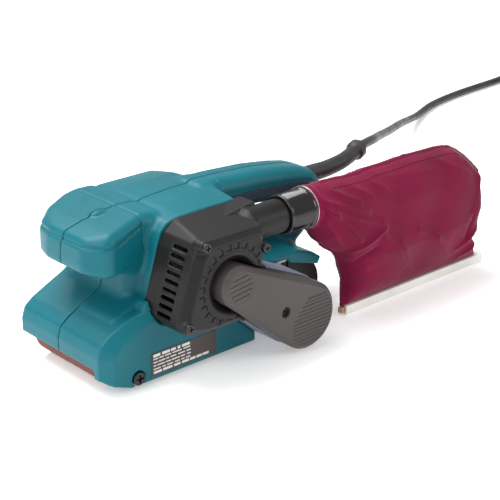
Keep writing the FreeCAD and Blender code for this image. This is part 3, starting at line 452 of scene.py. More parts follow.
def motor_cover_field(space):
    """The motor cover: a thin shell with a round dish, air slots and screw bosses."""
    x, y, z = space.x, space.y, space.z
    side = space.profile([(-44, 121), (-54, 116.8), (-62, 110.6), (-66.8, 102.5),
                          (-82.6, 55.6), (-76.6, 48.5), (-59.6, 44.7), (-23, 44.7),
                          (-4.7, 56.5), (-4.7, 121)], 3.0)
    side = side
    across = space.section([(-92.5, 30), (-92.5, 109.2), (-87.8, 114.3), (-44.9, 120.6),
                            (-44.9, 30)])
    cover = motor_cover_outside(space, side, across)
    inside = chamfered(side + 3.2, COVER_FACE_Y + 3 - y, COVER_BEVEL)
    inside = np.maximum(inside, across + 3)
    bore = np.maximum(np.hypot(y - NOZZLE[0], z - NOZZLE[1]) - 9.6, -4 - x)
    cover = cut(cover, np.minimum(inside, bore))
    loop = belt_cover_field(space)
    lining = np.maximum(loop - 2.6, np.maximum(COVER_FACE_Y + 1 - y, y + 76.6))
    lining = np.maximum(lining, side + 0.8)
    cover = np.minimum(cover, lining)
    cover = cut(cover, np.maximum(loop - 0.5, y + 78.8))
    reach = from_upper_end(space)
    backing = np.maximum(reach - 25.5, np.maximum(COVER_FACE_Y - y, y + 81.5))
    backing = np.maximum(backing, side + 0.8)
    cover = np.minimum(cover, np.maximum(backing, -(loop - 0.4)))
    dish = (reach - 22.6 + 0.85 * (y - COVER_FACE_Y)) / 1.31
    cover = without(cover, np.maximum(dish, y + 84.5), 1.2)
    edge_arc = np.maximum(np.abs(reach - 24.2) - 0.35, y - COVER_FACE_Y - 0.5)
    cover = cut(cover, np.maximum(edge_arc, np.maximum(-38 - x, -x - z - 30)))
    for index in range(AIR_SLOTS):
        height = AIR_SLOT_TOP - AIR_SLOT_STEP * index
        front = -66.3 - (115.5 - height) * 19.7 / 60.5
        slot = np.hypot(np.maximum(np.abs(y + 69) - 6.6, 0), z - height) - 1.5
        slot = np.maximum(slot, np.abs(x - front - 1) - 6)
        cover = cut(cover, slot)
    for place_x, place_z in COVER_SCREWS:
        boss = np.hypot(x - place_x, z - place_z)
        cover = joined(cover, np.maximum(boss - 4.6, np.abs(y + 87) - 5.4), 1.5)
    frame_gap = np.maximum(-50.2 - y, z - 60.8)
    return np.maximum(cut(cover, frame_gap), y - COVER_INNER_Y)


def make_motor_cover():
    space = Field((-90, -96, 38), (54, -43, 124), 0.9)
    shell_piece("motor_cover_shell", space, motor_cover_field(space), BLACK, "motor_cover",
                "frame")


def make_belt_cover():
    """The outer cover of the toothed belt, ribbed at both ends, with its screw's recess."""
    space = Field((-56, -104, 1), (66, -77, 96), 0.7)
    x, y, z = space.x, space.y, space.z
    loop = belt_cover_field(space)
    cover = chamfered(loop, BELT_COVER_FACE_Y - y, 3.4)
    cover = np.maximum(cover, y - BELT_COVER_SPLIT_Y)
    reach = from_upper_end(space)
    for index in range(5):
        height = UPPER_END_Z + (index - 2) * 4.0
        tilt = (x - UPPER_END_X) * 0.12
        rib = np.maximum(np.abs(z - height - tilt) - RIB_HALF_WIDTH, reach - 10.8)
        cover = cut(cover, np.maximum(rib, y - BELT_COVER_FACE_Y - RIB_DEPTH))
    rim = np.maximum(np.abs(reach - 11.9) - 0.5, y - BELT_COVER_FACE_Y - 0.5)
    cover = cut(cover, rim)
    for index in range(13):
        height = 10.5 + 3.1 * index
        left = 17 + max(0, height - 31) * 0.9
        rib = np.maximum(np.abs(z - height) - RIB_HALF_WIDTH,
                         np.maximum(left - x, loop + 4.6))
        cover = cut(cover, np.maximum(rib, y - BELT_COVER_FACE_Y - RIB_DEPTH))
    recess = np.hypot(x - 9.5, z - 42.7) - 4.2
    cover = without(cover, np.maximum(recess, y + 95.3), 0.6)
    inside = np.maximum(loop + 2, BELT_COVER_FACE_Y + 2.4 - y)
    tower = np.maximum(recess - 1.8, y + 93.3)
    cover = cut(cover, cut(inside, tower))
    shell_piece("belt_cover_shell", space, cover, GREY, "belt_cover", "frame")


def make_cover_marks():
    """A ring of small raised hooks round the belt cover's upper end."""
    places, directions = [], []
    for index in range(24):
        angle = math.radians(15 * index + 4)
        for reach, turn, shift in ((30.2, 0.0, 0.0), (28.0, 90.0, 2.1)):
            spot_angle = angle + shift / reach
            x = UPPER_END_X + reach * math.cos(spot_angle)
            z = UPPER_END_Z + reach * math.sin(spot_angle)
            if not inside_cover_face(x, z):
                continue
            way = angle + math.radians(turn)
            places.append((x, COVER_FACE_Y - 0.02, z))
            directions.append((math.cos(way), 0, math.sin(way)))
    hooks = repeated_bars("cover_hook_marks", places, directions, 4.6, 0.32, DARK_LINE)
    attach(hooks, "frame")


def inside_cover_face(x, z):
    """Whether a spot is on the motor cover's flat face and clear of the belt cover."""
    face = [(-61, 112), (-79, 56), (-74, 50.5), (-58.5, 47), (-24, 47), (-7.2, 58),
            (-7.2, 106)]
    on_face = polygon_distance(np.array([float(x)]), np.array([float(z)]), face)[0] < -1.2
    (x1, z1, r1), (x2, z2, r2) = BELT_COVER_ENDS
    share = ((x - x1) * (x2 - x1) + (z - z1) * (z2 - z1)) / ((x2 - x1) ** 2 + (z2 - z1) ** 2)
    share = min(max(share, 0), 1)
    off_line = math.hypot(x - x1 - share * (x2 - x1), z - z1 - share * (z2 - z1))
    near_screw = min(math.hypot(x - place_x, z - place_z) for place_x, place_z in COVER_SCREWS)
    return on_face and off_line > r1 + share * (r2 - r1) + 2.6 and near_screw > 6.5


PRINT_LINES = (2.2, 1.0, 1.0, 1.0, 1.0, 2.0)
PRINT_LEFT, PRINT_TOP, PRINT_STEP = -88.0, 22.6, 2.75
PRINT_FACES_Y = (-59.97, -59.88)


def make_label_print():
    """Plain bars on the rating label, where lines of print would be."""
    vertices, faces = [], []
    chooser = np.random.default_rng(7)
    for row, thick in enumerate(PRINT_LINES):
        height = PRINT_TOP - PRINT_STEP * row
        start = PRINT_LEFT
        end = -52.0 if row < 5 else -34.0
        while start < end:
            run = float(chooser.uniform(2.5, 9.0))
            stop = min(start + run, end)
            corners = [(start, height - thick / 2), (stop, height - thick / 2),
                       (stop, height + thick / 2), (start, height + thick / 2)]
            first = len(vertices)
            for depth in PRINT_FACES_Y:
                vertices += [(px * MM, depth * MM, pz * MM) for px, pz in corners]
            for quad in ((0, 1, 2, 3), (7, 6, 5, 4), (0, 4, 5, 1), (1, 5, 6, 2),
                         (2, 6, 7, 3), (3, 7, 4, 0)):
                faces.append([first + corner for corner in quad])
            start = stop + float(chooser.uniform(0.8, 2.0))
    marks = mesh_piece("label_print", vertices, faces, PRINT, smooth=False)
    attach(marks, "frame")


# ---- clamshell

HOUSING_SCREWS = ((-60, 109), (-2, 112), (2, 72), (-76, 72))
HANDLE_LINE_Z, HANDLE_LINE_START, HANDLE_LINE_BEND = 112.2, 40, 0.00132
GRIP_TOP_Z = 111.6


def knob_field(space):
    """The front knob: a rounded block, softer on top than below."""
    side = space.profile([(-122.3, 93), (-113.5, 90), (-60, 91), (-60, 118), (-74, 119),
                          (-106, 113.8), (-118.6, 110.4), (-122.4, 106)], 5.0)
    plan = space.plan([(-117.5, -22), (-108, -32.3), (-90, -27.5), (-74, -23.5),
                       (-60, -23.5), (-60, 48), (-84, 46), (-100, 39), (-112, 29),
                       (-117.5, 16)], 10.0)
    share = np.clip((space.z - 96) / 10, 0, 1)
    return (rounded_both(side, plan, 9) * share
            + rounded_both(side, plan, 5) * (1 - share))


def belt_room(space):
    """The room over the belt, front to back, as seen from the side."""
    return space.profile([(-129.6, -5), (-129.2, 31.5), (-127.4, 38.4), (-120.2, 44.6),
                          (-96, 52.5), (-88, 54.5), (-87, 60.7), (70, 60.7),
                          (70, -5)])


def skirt_field(space):
    """The skirt over the belt, with a ledge on the left and a raised hem in front."""
    x, y, z = space.x, space.y, space.z
    outer = space.profile([(-127, -40), (-127, 30), (-124.8, 36.8), (-118.6, 41.7),
                           (-91.5, 54.6), (-84, 58.6), (-60, 59.4), (18, 59.4),
                           (18, -40)], 5.0)
    skirt = chamfered(outer, -59.5 - y, 8.5)
    skirt = np.maximum(skirt, y - 49.5)
    ledge = space.profile([(-107, 53.2), (-91, 57.4), (-88.6, 61), (-88.6, 90),
                           (-107, 90)])
    skirt = without(skirt, np.maximum(ledge, y + 43), 1.2)
    hem = space.profile([(-140, 13), (-131, 13), (-126, 9.5), (-108, 2.7), (20, 2.7),
                         (20, -50), (-140, -50)])
    skirt = cut(skirt, hem)
    front_hem = np.maximum(z - 19.9, -44.6 - y)
    skirt = cut(skirt, front_hem)
    room = belt_room(space)
    over_belt = np.maximum(room, -44.6 - y)
    cheek = np.maximum(np.maximum(room, -56.5 - y), np.maximum(-88 - x, z - 52))
    return cut(skirt, np.minimum(over_belt, cheek))


def handle_field(space):
    """The rear handle with its finger gap and the foot behind the body."""
    bar = space.profile([(0, 60), (0, 123), (20, 122.8), (62, 120.3), (90, 116.6),
                         (107, 113.2), (118, 109), (125, 103), (128.4, 97),
                         (128.4, 89.6), (124, 80), (115.5, 69.6), (104.5, 60.6),
                         (94, 53.6), (60, 55)], 4.0)
    gap = space.profile([(19, 90.5), (45, 91.2), (72, 89.5), (79.5, 86), (82.6, 81.5),
                         (80.5, 76.5), (76, 71.5), (69, 68.5), (19, 68.5)], 5.0)
    ring = cut(bar, gap)
    softness = 12 - 5 * np.clip((84 - space.z) / 14, 0, 1)
    handle = rounded_both(ring, space.between(-20, 20), softness)
    foot = space.profile([(11, 59), (56, 59), (60, 55), (91.5, 45.6), (95, 51.4),
                          (86, 57.6), (70, 63.4), (11, 64.8)])
    foot = rounded_both(foot, space.between(-52.6, 40), 1.2)
    return joined(handle, foot, 9)


def crown_field(space):
    """The body's domed top, as seen from the front."""
    return space.section([(-70, 116.6), (-45, 121), (-18, 125.4), (5, 126.4), (30, 124.6),
                          (58, 119), (58, 30), (-70, 30)])


def upper_field(space):
    """Body, neck and knob in one flowing shape, with the grooves between them."""
    x, y, z = space.x, space.y, space.z
    body = space.profile([(-82, 50), (-69, 101), (-65.4, 110.5), (-58.5, 117.4),
                          (-48, 121.4), (-25, 124), (8, 125.2), (8, 50)], 2.4)
    body = rounded_both(body, crown_field(space), 6)
    body = np.maximum(body, -45 - y)
    neck = space.profile([(-86, 50), (-83, 66), (-81, 76), (-83, 92), (-60, 92), (-60, 50)],
                         7.0)
    neck = rounded_both(neck, space.between(-33, 44), 9)
    knob = knob_field(space)
    rising = z - 109.4 - 0.27 * np.maximum(x + 101, 0)
    knob = groove(knob, np.where(x < -74, rising, 9.0), 1.0, 1.4)
    grip = joined(knob, neck, 9)
    upper = joined(grip, body, 5)
    return groove(upper, np.where((z > 96) & (y > -36) & (y < 54), x + 74.6, 9.0), 0.7, 0.9)


def grooved_handle(space):
    """The handle with its upright groove and the line along its top."""
    x, z = space.x, space.z
    handle = handle_field(space)
    handle = groove(handle, np.where(x > 10, x - 15.5, 9.0), 0.6, 0.8)
    bend = HANDLE_LINE_BEND * np.maximum(x - HANDLE_LINE_START, 0) ** 2
    line = z - HANDLE_LINE_Z + bend
    return groove(handle, np.where((x > 16) & (x < 114), line, 9.0), 0.6, 0.8)


def housing_cuts(space):
    """What is taken out of the housing, for the pieces that it holds."""
    x, y, z = space.x, space.y, space.z
    cavity = space.profile([(-75.5, 64), (-66, 97), (-60, 107), (-46, 115), (-20, 119),
                            (7.5, 121), (7.5, 64)])
    cavity = np.maximum(cavity, crown_field(space) + 3.2)
    motor_room = np.maximum(cavity, np.maximum(-60 - y, y - 55))
    trigger_slot = np.maximum(np.maximum(np.abs(x - 43) - 15.8, np.abs(y) - 7.7), z - 101)
    lock_hole = np.maximum(np.hypot(x - 40, z - 108) - 5.3, 1 - y)
    cord_hole = np.maximum(np.hypot(y, z - 102) - 6.4, 100 - x)
    tracking_hole = np.maximum(np.hypot(x + 101.5, z - 8.6) - 5.9, y + 53)
    frame_room = space.profile([(-88, 0), (-88, 60.7), (60, 60.7), (93.3, 50.4), (93.3, 0)])
    frame_room = np.maximum(frame_room, np.maximum(-50.3 - y, y - 38.4))
    handle_room = space.profile([(12, 121), (62, 118.4), (112, 111.5), (112, 100),
                                 (14, 100)])
    handle_room = np.maximum(handle_room, np.abs(y) - 14)
    screw_holes = [np.maximum(np.hypot(x - place_x, z - place_z) - 4.3, 55.4 - y)
                   for place_x, place_z in HOUSING_SCREWS]
    return [motor_room, trigger_slot, lock_hole, cord_hole, tracking_hole, belt_side(space),
            frame_room, handle_room] + screw_holes


def housing_field(space):
    """Both halves of the clamshell as one solid, with everything cut out."""
    x, y, z = space.x, space.y, space.z
    whole = joined(upper_field(space), skirt_field(space), 5)
    plateau = space.profile([(-112.2, 46), (-111.8, 51.6), (-108.4, 53.6), (-86, 62.4),
                             (-78, 62.6), (-78, 46)])
    plateau = rounded_both(plateau, space.between(-41.5, 1.5), 1.2)
    whole = joined(whole, plateau, 1.0)
    whole = cut(whole, np.maximum(belt_room(space), -44.6 - y))
    whole = joined(whole, grooved_handle(space), 4)
    bump = np.sqrt(((x + 90) / 8.5) ** 2 + (y / 6) ** 2 + ((z - 120.4) / 3.6) ** 2) - 1
    whole = joined(whole, bump * 4, 0.8)
    for cutter in housing_cuts(space):
        whole = cut(whole, cutter)
    return whole


def belt_side(space):
    """The room on the left that the motor cover and inner belt cover fill."""
    cover = space.profile([(-66.1, 130), (-66.1, 116), (-86.2, 55), (-79.2, 45.8),
                           (-60, 41.5), (-22, 41.5), (30, 41.5), (30, 130)])
    cover = np.maximum(cover, space.y + 45)
    return np.minimum(cover, np.maximum(belt_cover_field(space) - 1.1, space.y + 51))


def make_housing():
    """The two halves, with the grained plastic round the grip."""
    space = Field((-136, -63, -1), (138, 62, 132), 1.1)
    whole = housing_field(space)
    for side, sign in (("left", 1), ("right", -1)):
        half = rounded_both(whole, sign * space.y + 0.12, 0.9)
        piece = shell_piece("housing_%s_shell" % side, space, half, TEAL,
                            "housing_" + side, "frame")
        piece.data.materials.append(TEAL_GRAINED)
        for face in piece.data.polygons:
            place = face.center / MM
            bend = HANDLE_LINE_BEND * max(place.x - HANDLE_LINE_START, 0) ** 2
            under = place.z < GRIP_TOP_Z - bend
            if 17 < place.x < 112 and 88 < place.z and under:
                face.material_index = 1


# ---- repeated small pieces

def repeating_tree(name, finish):
    """Nodes that set one small rounded bar at every point of a mesh, turned as it says."""
    tree = bpy.data.node_groups.new(name, "GeometryNodeTree")
    face = tree.interface
    face.new_socket("Geometry", in_out="INPUT", socket_type="NodeSocketGeometry")
    for label in ("Length", "Thickness"):
        face.new_socket(label, in_out="INPUT", socket_type="NodeSocketFloat")
    face.new_socket("Geometry", in_out="OUTPUT", socket_type="NodeSocketGeometry")
    given = tree.nodes.new("NodeGroupInput")
    result = tree.nodes.new("NodeGroupOutput")
    bar = node_of(tree, "GeometryNodeMeshCylinder", {"Vertices": 8, "Side Segments": 4})
    tree.links.new(given.outputs["Length"], bar.inputs["Depth"])
    tree.links.new(given.outputs["Thickness"], bar.inputs["Radius"])
    turn = node_of(tree, "GeometryNodeInputNamedAttribute", {"Name": "turn"},
                   data_type="FLOAT_VECTOR")
    setting = tree.nodes.new("GeometryNodeInstanceOnPoints")
    tree.links.new(given.outputs["Geometry"], setting.inputs["Points"])
    tree.links.new(bar.outputs["Mesh"], setting.inputs["Instance"])
    tree.links.new(turn.outputs["Attribute"], setting.inputs["Rotation"])
    real = tree.nodes.new("GeometryNodeRealizeInstances")
    tree.links.new(setting.outputs["Instances"], real.inputs["Geometry"])
    coat = node_of(tree, "GeometryNodeSetMaterial", {"Material": finish})
    tree.links.new(real.outputs["Geometry"], coat.inputs["Geometry"])
    tree.links.new(coat.outputs["Geometry"], result.inputs["Geometry"])
    return tree


def repeated_bars(name, places, directions, length, thickness, finish):
    """Small round bars in millimetres at the places, each along its direction."""
    points = bpy.data.meshes.new(name + "_points")
    points.from_pydata([tuple(part * MM for part in place) for place in places], [], [])
    turns = points.attributes.new("turn", "FLOAT_VECTOR", "POINT")
    for item, direction in zip(turns.data, directions):
        item.vector = Vector(direction).to_track_quat("Z", "Y").to_euler()
    holder = bpy.data.objects.new(name + "_holder", points)
    into_scene(holder)
    tree = repeating_tree(name + " nodes", finish)
    repeat = holder.modifiers.new("repeat", "NODES")
    repeat.node_group = tree
    sizes = {"Length": length * MM, "Thickness": thickness * MM}
    for item in tree.interface.items_tree:
        if item.in_out == "INPUT" and item.name in sizes:
            repeat[item.identifier] = sizes[item.name]
    graph = bpy.context.evaluated_depsgraph_get()
    mesh = bpy.data.meshes.new_from_object(holder.evaluated_get(graph))
    bpy.data.objects.remove(holder)
    piece = bpy.data.objects.new(name, mesh)
    into_scene(piece)
    return piece


# ---- dust bag

BAG_MIDDLE_Y = -67
BAG_OUTLINE = [(58, 91.4), (63, 89), (72, 76), (84, 67), (95, 60), (102, 49), (108, 29),
               (105, 9), (277, 9), (264, 34), (269.5, 46), (273.5, 60), (271.5, 80),
               (267, 97), (255, 107), (243, 115), (232, 120.5), (220, 122.6), (175, 124),
               (150, 122.8), (132, 123.4), (116, 121.6), (100, 122.6), (80, 124),
               (58, 123)]
BAG_CREASES = [
    ((64, 116), (112, 96), 3.4, 1.9), ((68, 108), (104, 74), 3.0, 3.4),
    ((65, 99), (92, 66), 2.6, 3.0), ((76, 104), (128, 82), 3.2, 2.4),
    ((78, 121), (104, 106), 3.0, 2.0), ((96, 122), (118, 108), 2.8, 1.6),
    ((118, 121), (136, 109), 3.0, 1.5), ((98, 62), (132, 78), 3.4, 2.6),
    ((101, 56), (118, 44), 3.4, 2.4), ((103, 50), (124, 62), 3.0, -1.8),
    ((112, 40), (136, 24), 4.0, 1.6), ((130, 70), (165, 34), 5.5, 1.4),
    ((150, 60), (178, 24), 5.0, 1.2), ((172, 66), (214, 44), 5.5, 1.4),
    ((196, 52), (226, 24), 4.6, 1.5), ((231, 119), (256, 92), 4.6, 2.2),
    ((258, 104), (246, 62), 4.2, 2.0), ((262, 84), (244, 38), 4.4, -2.0),
    ((264, 44), (236, 30), 3.4, 2.6), ((266, 30), (240, 14), 3.4, 2.0),
    ((205, 118), (240, 100), 6.0, 1.6), ((140, 118), (200, 112), 5.0, 1.2),
]


def bag_creases(x, z):
    """Height of the cloth's folds; each ridge fades towards its far end."""
    height = 0
    for (x1, z1), (x2, z2), width, rise in BAG_CREASES:
        dx, dz = x2 - x1, z2 - z1
        along = np.clip(((x - x1) * dx + (z - z1) * dz) / (dx * dx + dz * dz), 0, 1)
        aside = np.hypot(x - x1 - along * dx, z - z1 - along * dz)
        height = height + rise * np.exp(-aside / (0.8 * width)) * (1 - 0.45 * along)
    slack = np.sin(x * 0.071 + z * 0.053) * np.sin(z * 0.088 - x * 0.031 + 1.3)
    return 2.3 * height + 1.6 * slack * np.clip((x - 66) / 40, 0, 1)


def bag_half(x, z, inside):
    """Half the bag's fullness, and how far it has narrowed, that far inside the outline."""
    spread_out = np.clip((x - 60) / 70, 0, 1)
    lifted = np.clip((z - 8) / 46, 0.0, 1)
    fullness = (15.4 + 7.0 * spread_out) * (0.16 + 0.84 * lifted ** 0.75)
    softness = np.maximum((15.4 + 15 * spread_out) * (0.2 + 0.8 * lifted), 2.5)
    share = 1 - np.clip(inside / softness, -2, 1)
    folds = bag_creases(x, z) * np.clip((x - 60) / 8, 0, 1) * np.clip((z - 9) / 12, 0, 1)
    fullness = fullness + folds * np.clip(inside / 5, 0.15, 1)
    return fullness, share


def make_dust_bag():
    """The full cloth bag, with its seam, its folds and a hem round the collar."""
    space = Field((56.5, -97, 6), (282, -37, 129), 1.15)
    x, y, z = space.x, space.y, space.z
    outline = space.profile(BAG_OUTLINE)
    across = y - BAG_MIDDLE_Y
    fullness, share = bag_half(x, z, -outline)
    reach = np.sqrt((across / fullness) ** 2 + np.maximum(share, 0) ** 2)
    bag = (reach - 1) * np.minimum(fullness, 12)
    seam = np.maximum(np.abs(across) - 0.9, np.abs(outline + 0.4) - 1.9)
    seam = np.maximum(seam, 78 - x)
    bag = joined(bag, seam, 1.6)
    hem = np.maximum(np.abs(np.hypot(across, z - NOZZLE[1]) - 15.8) - 1.3, x - 66)
    bag = joined(bag, hem, 1.5)
    bag = np.maximum(bag, 58.6 - x)
    mouth = np.maximum(np.hypot(across, z - NOZZLE[1]) - 14.4, x - 76)
    bag = cut(bag, mouth)
    shell_piece("dust_bag_cloth", space, bag, BURGUNDY, "dust_bag", "bag")
    make_bag_stitches()


def make_bag_stitches():
    """A row of stitches inside the seam along the top and the rear end."""
    edge = [Vector((px, 0, pz)) for px, pz in BAG_OUTLINE[9:] + BAG_OUTLINE[:1]]
    places, directions = [], []
    for start, end in zip(edge, edge[1:]):
        along = (end - start).normalized()
        inwards = Vector((along.z, 0, -along.x)) * -3.4
        count = max(1, round((end - start).length / 3.6))
        for index in range(count):
            spot = start + (end - start) * ((index + 0.5) / count) + inwards
            if spot.x < 80:
                continue
            inside = -polygon_distance(np.array([spot.x]), np.array([spot.z]), BAG_OUTLINE)
            half, share = bag_half(np.array([spot.x]), np.array([spot.z]), inside)
            rise = float(half[0]) * math.sqrt(max(0.0, 1 - float(share[0]) ** 2))
            for side in (-1, 1):
                places.append((spot.x, BAG_MIDDLE_Y + side * (rise + 0.1), spot.z))
                directions.append(along)
    stitches = repeated_bars("bag_stitches", places, directions, 2.3, 0.3, THREAD)
    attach(stitches, "bag")


def turned_ring(name, rings, centre, finish, sides=64):
    """A closed ring about a line along X, through (x, radius) points in order."""
    vertices, faces = [], []
    for step in range(sides):
        angle = 2 * math.pi * step / sides
        for along, radius in rings:
            vertices.append(((centre[0] + along) * MM,
                             (centre[1] + radius * math.cos(angle)) * MM,
                             (centre[2] + radius * math.sin(angle)) * MM))
    count = len(rings)
    for step in range(sides):
        here, following = step * count, (step + 1) % sides * count
        for index in range(count):
            after = (index + 1) % count
            faces.append((here + index, here + after, following + after, following + index))
    return mesh_piece(name, vertices, faces, finish)


def make_bag_collar():
    """Glossy sleeve with a rolled bead and a wire clip at the cloth."""
    profile = [(0, 12.0), (0, 15.4), (0.5, 16.0), (1.8, 16.1), (2.2, 15.2), (3.4, 15.2),
               (3.8, 15.9), (21.6, 16.0), (22.2, 16.6), (23.2, 17.2), (24.6, 17.4),
               (26.0, 17.1), (26.6, 16.4), (26.8, 12.0)]
    sleeve = turned_ring("collar_sleeve", profile[::-1], (33, NOZZLE[0], NOZZLE[1]), GLOSS)
    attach(sleeve, "bag")
    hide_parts("bag_collar")
    loop = [(0.4 * math.cos(a * math.pi / 4), 17.0 + 0.4 * math.sin(a * math.pi / 4))
            for a in range(8)]
    wire = turned_ring("collar_wire", loop, (60.2, NOZZLE[0], NOZZLE[1]), STEEL)
    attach(wire, "bag")


# ---- cord

CORD_DIAMETER = 0.0085
GUARD_ROUTE = [(122, 0, 101.6), (137, 0, 101.8), (154, 0, 102.1), (176, 1, 105),
               (201, 6, 110.7)]
CORD_ROUTE = [(201, 6, 110.7), (222, 13, 110), (256, 40, 98), (302, 77, 83),
              (360, 118, 66), (419, 160, 50), (482, 206, 32), (541, 247, 15),
              (590, 274, 5.5), (640, 297, 4.6), (700, 308, 4.6), (757, 313, 4.6),
              (802, 316, 4.6)]
GUARD_STEPS, GUARD_SIDES = 140, 36
GUARD_RADIUS, GUARD_TAPER, FLANGE_RADIUS, TIP_RADIUS = 7.9, 1.5, 8.7, 5.9
FLANGE_START, FLANGE_END, TIP_START = 0.885, 0.945, 0.955
GUARD_PLAY = 0.15
COIL_CENTRE = (866, 281)
COIL_RADII = (49.6, 40.6)


def coil_turns():
    """The put-away length: turns beside and on each other."""
    points = []
    steps = 14
    levels = ((0, 4.6), (1, 4.6), (1, 12.6), (0, 12.6), (0, 20.6), (1, 20.6))
    for turn, (place, height) in enumerate(levels):
        radius = COIL_RADII[place]
        following = levels[min(turn + 1, len(levels) - 1)]
        next_radius, next_height = COIL_RADII[following[0]], following[1]
        for step in range(steps):
            share = step / steps
            ease = max(0.0, share * 4 - 3)
            reach = radius + (next_radius - radius) * ease
            angle = math.radians(118) - 2 * math.pi * share
            points.append((COIL_CENTRE[0] + reach * math.cos(angle),
                           COIL_CENTRE[1] + reach * math.sin(angle),
                           height + (next_height - height) * ease))
    return points


def spline_curve(name, points, radius, finish):
    """A round cord along one smooth spline through control points in millimetres."""
    curve = bpy.data.curves.new(name, "CURVE")
    curve.dimensions = "3D"
    curve.bevel_depth = radius
    curve.bevel_resolution = 5
    curve.resolution_u = 6
    curve.use_fill_caps = True
    spline = curve.splines.new("NURBS")
    spline.points.add(len(points) - 1)
    for point, place in zip(spline.points, points):
        point.co = (*[part * MM for part in place], 1)
    spline.order_u = 3
    spline.use_endpoint_u = True
    curve.materials.append(finish)
    made = bpy.data.objects.new(name, curve)
    into_scene(made)
    return made


def spline_length(curve):
    """The length of a curve's evaluated line, without its thickness."""
    bare = curve.data.copy()
    bare.bevel_depth = 0
    probe = bpy.data.objects.new("probe", bare)
    into_scene(probe)
    mesh = bpy.data.meshes.new_from_object(
        probe.evaluated_get(bpy.context.evaluated_depsgraph_get()))
    places = [vertex.co for vertex in mesh.vertices]
    length = sum((a - b).length for a, b in zip(places, places[1:]))
    bpy.data.objects.remove(probe)
    bpy.data.meshes.remove(mesh)
    return length


def make_cord_guard():
    """Tapered strain relief with a flange, swept along the cord's first stretch."""
    route = [Vector(place) for place in GUARD_ROUTE]
    sections = []
    for index in range(GUARD_STEPS + 1):
        share = index / GUARD_STEPS
        spans = share * (len(route) - 1)
        span = min(int(spans), len(route) - 2)
        local = spans - span
        before = route[max(span - 1, 0)]
        after = route[min(span + 2, len(route) - 1)]
        a, b = route[span], route[span + 1]
        place = 0.5 * (2 * a + (b - before) * local
                       + (2 * before - 5 * a + 4 * b - after) * local ** 2
                       + (3 * a - before - 3 * b + after) * local ** 3)
        radius = GUARD_RADIUS - GUARD_TAPER * share
        if FLANGE_START < share < FLANGE_END:
            radius = FLANGE_RADIUS
        if share > TIP_START:
            radius = TIP_RADIUS
        sections.append((place, radius))
    bore = CORD_DIAMETER / 2 / MM + GUARD_PLAY
    sections = [(sections[0][0], bore)] + sections + [(sections[-1][0], bore)]
    vertices, faces, sides = [], [], GUARD_SIDES
    for index, (place, radius) in enumerate(sections):
        ahead = sections[min(index + 1, len(sections) - 2)][0]
        behind = sections[max(index - 1, 1)][0]
        along = (ahead - behind).normalized()
        across = along.cross(Vector((0, 0, 1))).normalized()
        lift = across.cross(along)
        for step in range(sides):
            angle = 2 * math.pi * step / sides
            spot = place + radius * (across * math.cos(angle) + lift * math.sin(angle))
            vertices.append(spot * MM)
    rings = len(sections)
    for index in range(rings):
        for step in range(sides):
            here, following = index * sides, (index + 1) % rings * sides
            turned = (step + 1) % sides
            faces.append((here + step, here + turned, following + turned, following + step))
    guard = mesh_piece("strain_relief", vertices, faces, CORD_RUBBER)
    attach(guard, "frame")
    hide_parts("cord_guard")
    return guard


def make_cord():
    """The mains cord on one smooth spline, from the strain relief to the plug."""
    guard = make_cord_guard()
    cord = spline_curve("power_cord", CORD_ROUTE + coil_turns(), CORD_DIAMETER / 2,
                        CORD_RUBBER)
    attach(cord, "frame")
    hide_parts("mains_cord", "cord_coil")
    length = spline_length(cord)
    print("cord length %.3f" % length)


# ---- fork spring

def make_fork_spring():
    """The fork's coil spring, built at one fixed length; on the sander it shortens against the
    frame as the fork slides in.
    """
    start, middle_z, length, turns, sides = -78.2, 20.25, 8.0, 4, 10
    steps_each, coil_radius, wire_radius = 40, 6.6, 0.8
    vertices, faces = [], []
    steps = turns * steps_each
    for step in range(steps + 1):
        angle = 2 * math.pi * step / steps_each
        along = start + wire_radius + (length - 2 * wire_radius) * step / steps
        for side in range(sides):
            round_wire = 2 * math.pi * side / sides
            reach = coil_radius + wire_radius * math.cos(round_wire)
            vertices.append(((along + wire_radius * math.sin(round_wire)) * MM,
                             reach * math.cos(angle) * MM,
                             (middle_z + reach * math.sin(angle)) * MM))
    for step in range(steps):
        for side in range(sides):
            here, turned = step * sides + side, step * sides + (side + 1) % sides
            faces.append((here, here + sides, turned + sides, turned))
    faces.append(tuple(range(sides)))
    faces.append(tuple(steps * sides + side for side in reversed(range(sides))))
    spring = mesh_piece("fork_coil_spring", vertices, faces, STEEL)
    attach(spring, "frame")
    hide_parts("fork_spring")
    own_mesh(spring)


# ---- camera and light

CAMERA_AZIMUTH, CAMERA_ELEVATION, CAMERA_LENS = -42.069, 21.877, 97.63
CAMERA_PLACE = (-0.644295, -0.783958, 0.473846)
FLOOR_REACH, FLOOR_Z = 6.0, -0.0002
SOFTBOXES = (
    ("top_softbox", (-0.2, 0.5, 1.3), (0, 0, 0.05), (1.2, 0.9), 26),
    ("left_softbox", (-1.4, -0.1, 0.9), (-0.05, 0, 0.08), (0.9, 0.9), 10),
    ("right_softbox", (0.7, -1.3, 0.8), (0.05, -0.05, 0.06), (0.7, 0.7), 8),
)


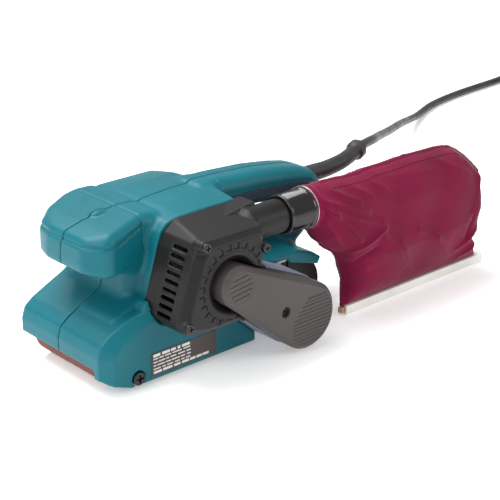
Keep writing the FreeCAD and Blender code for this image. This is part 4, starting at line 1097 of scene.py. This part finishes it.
def make_camera():
    azimuth, elevation = math.radians(CAMERA_AZIMUTH), math.radians(CAMERA_ELEVATION)
    back = Vector((math.sin(azimuth) * math.cos(elevation),
                   -math.cos(azimuth) * math.cos(elevation), math.sin(elevation)))
    right = Vector((math.cos(azimuth), math.sin(azimuth), 0))
    up = back.cross(right)
    camera = bpy.data.objects.new("camera", bpy.data.cameras.new("camera"))
    camera.data.sensor_width = 36
    camera.data.lens = CAMERA_LENS
    camera.data.clip_start = 0.01
    turned = Matrix((right, up, back)).transposed().to_4x4()
    turned.translation = Vector(CAMERA_PLACE)
    camera.matrix_world = turned
    into_scene(camera)
    bpy.context.scene.camera = camera


def soft_light(name, place, target, size, power):
    """An area lamp at a place, turned towards a target."""
    lamp = bpy.data.lights.new(name, "AREA")
    lamp.shape = "RECTANGLE"
    lamp.size, lamp.size_y = size
    lamp.energy = power
    made = bpy.data.objects.new(name, lamp)
    made.location = place
    made.rotation_euler = (Vector(target) - Vector(place)).to_track_quat("-Z", "Y").to_euler()
    into_scene(made)


def make_studio():
    """A pale floor and world, with three soft lights."""
    bpy.context.scene.view_settings.view_transform = "Standard"
    finish, tree, shader = new_finish("pale studio floor", Roughness=0.8,
                                      Emission_Color=(1, 1, 1, 1), Emission_Strength=0.28,
                                      Specular_IOR_Level=0.1)
    cloud = noise(tree, object_pattern(tree), 3, 2)
    tree.links.new(two_tones(tree, cloud, (0.9, 0.9, 0.9), (0.93, 0.93, 0.93)),
                   shader.inputs["Base Color"])
    corners = [(across * FLOOR_REACH, along * FLOOR_REACH, FLOOR_Z)
               for across, along in ((-1, -1), (1, -1), (1, 1), (-1, 1))]
    floor = mesh_piece("studio_floor", corners, [(0, 1, 2, 3)], finish, smooth=False)
    world = bpy.data.worlds.new("studio")
    world.use_nodes = True
    background = world.node_tree.nodes["Background"]
    background.inputs["Color"].default_value = (1, 1, 1, 1)
    background.inputs["Strength"].default_value = 0.5
    bpy.context.scene.world = world
    for softbox in SOFTBOXES:
        soft_light(*softbox)


make_camera()
make_studio()
finish_the_frame()
make_cord()
make_housing()
make_motor_cover()
make_belt_cover()
make_cover_marks()
make_label_print()
make_dust_bag()
make_bag_collar()
make_fork_spring()
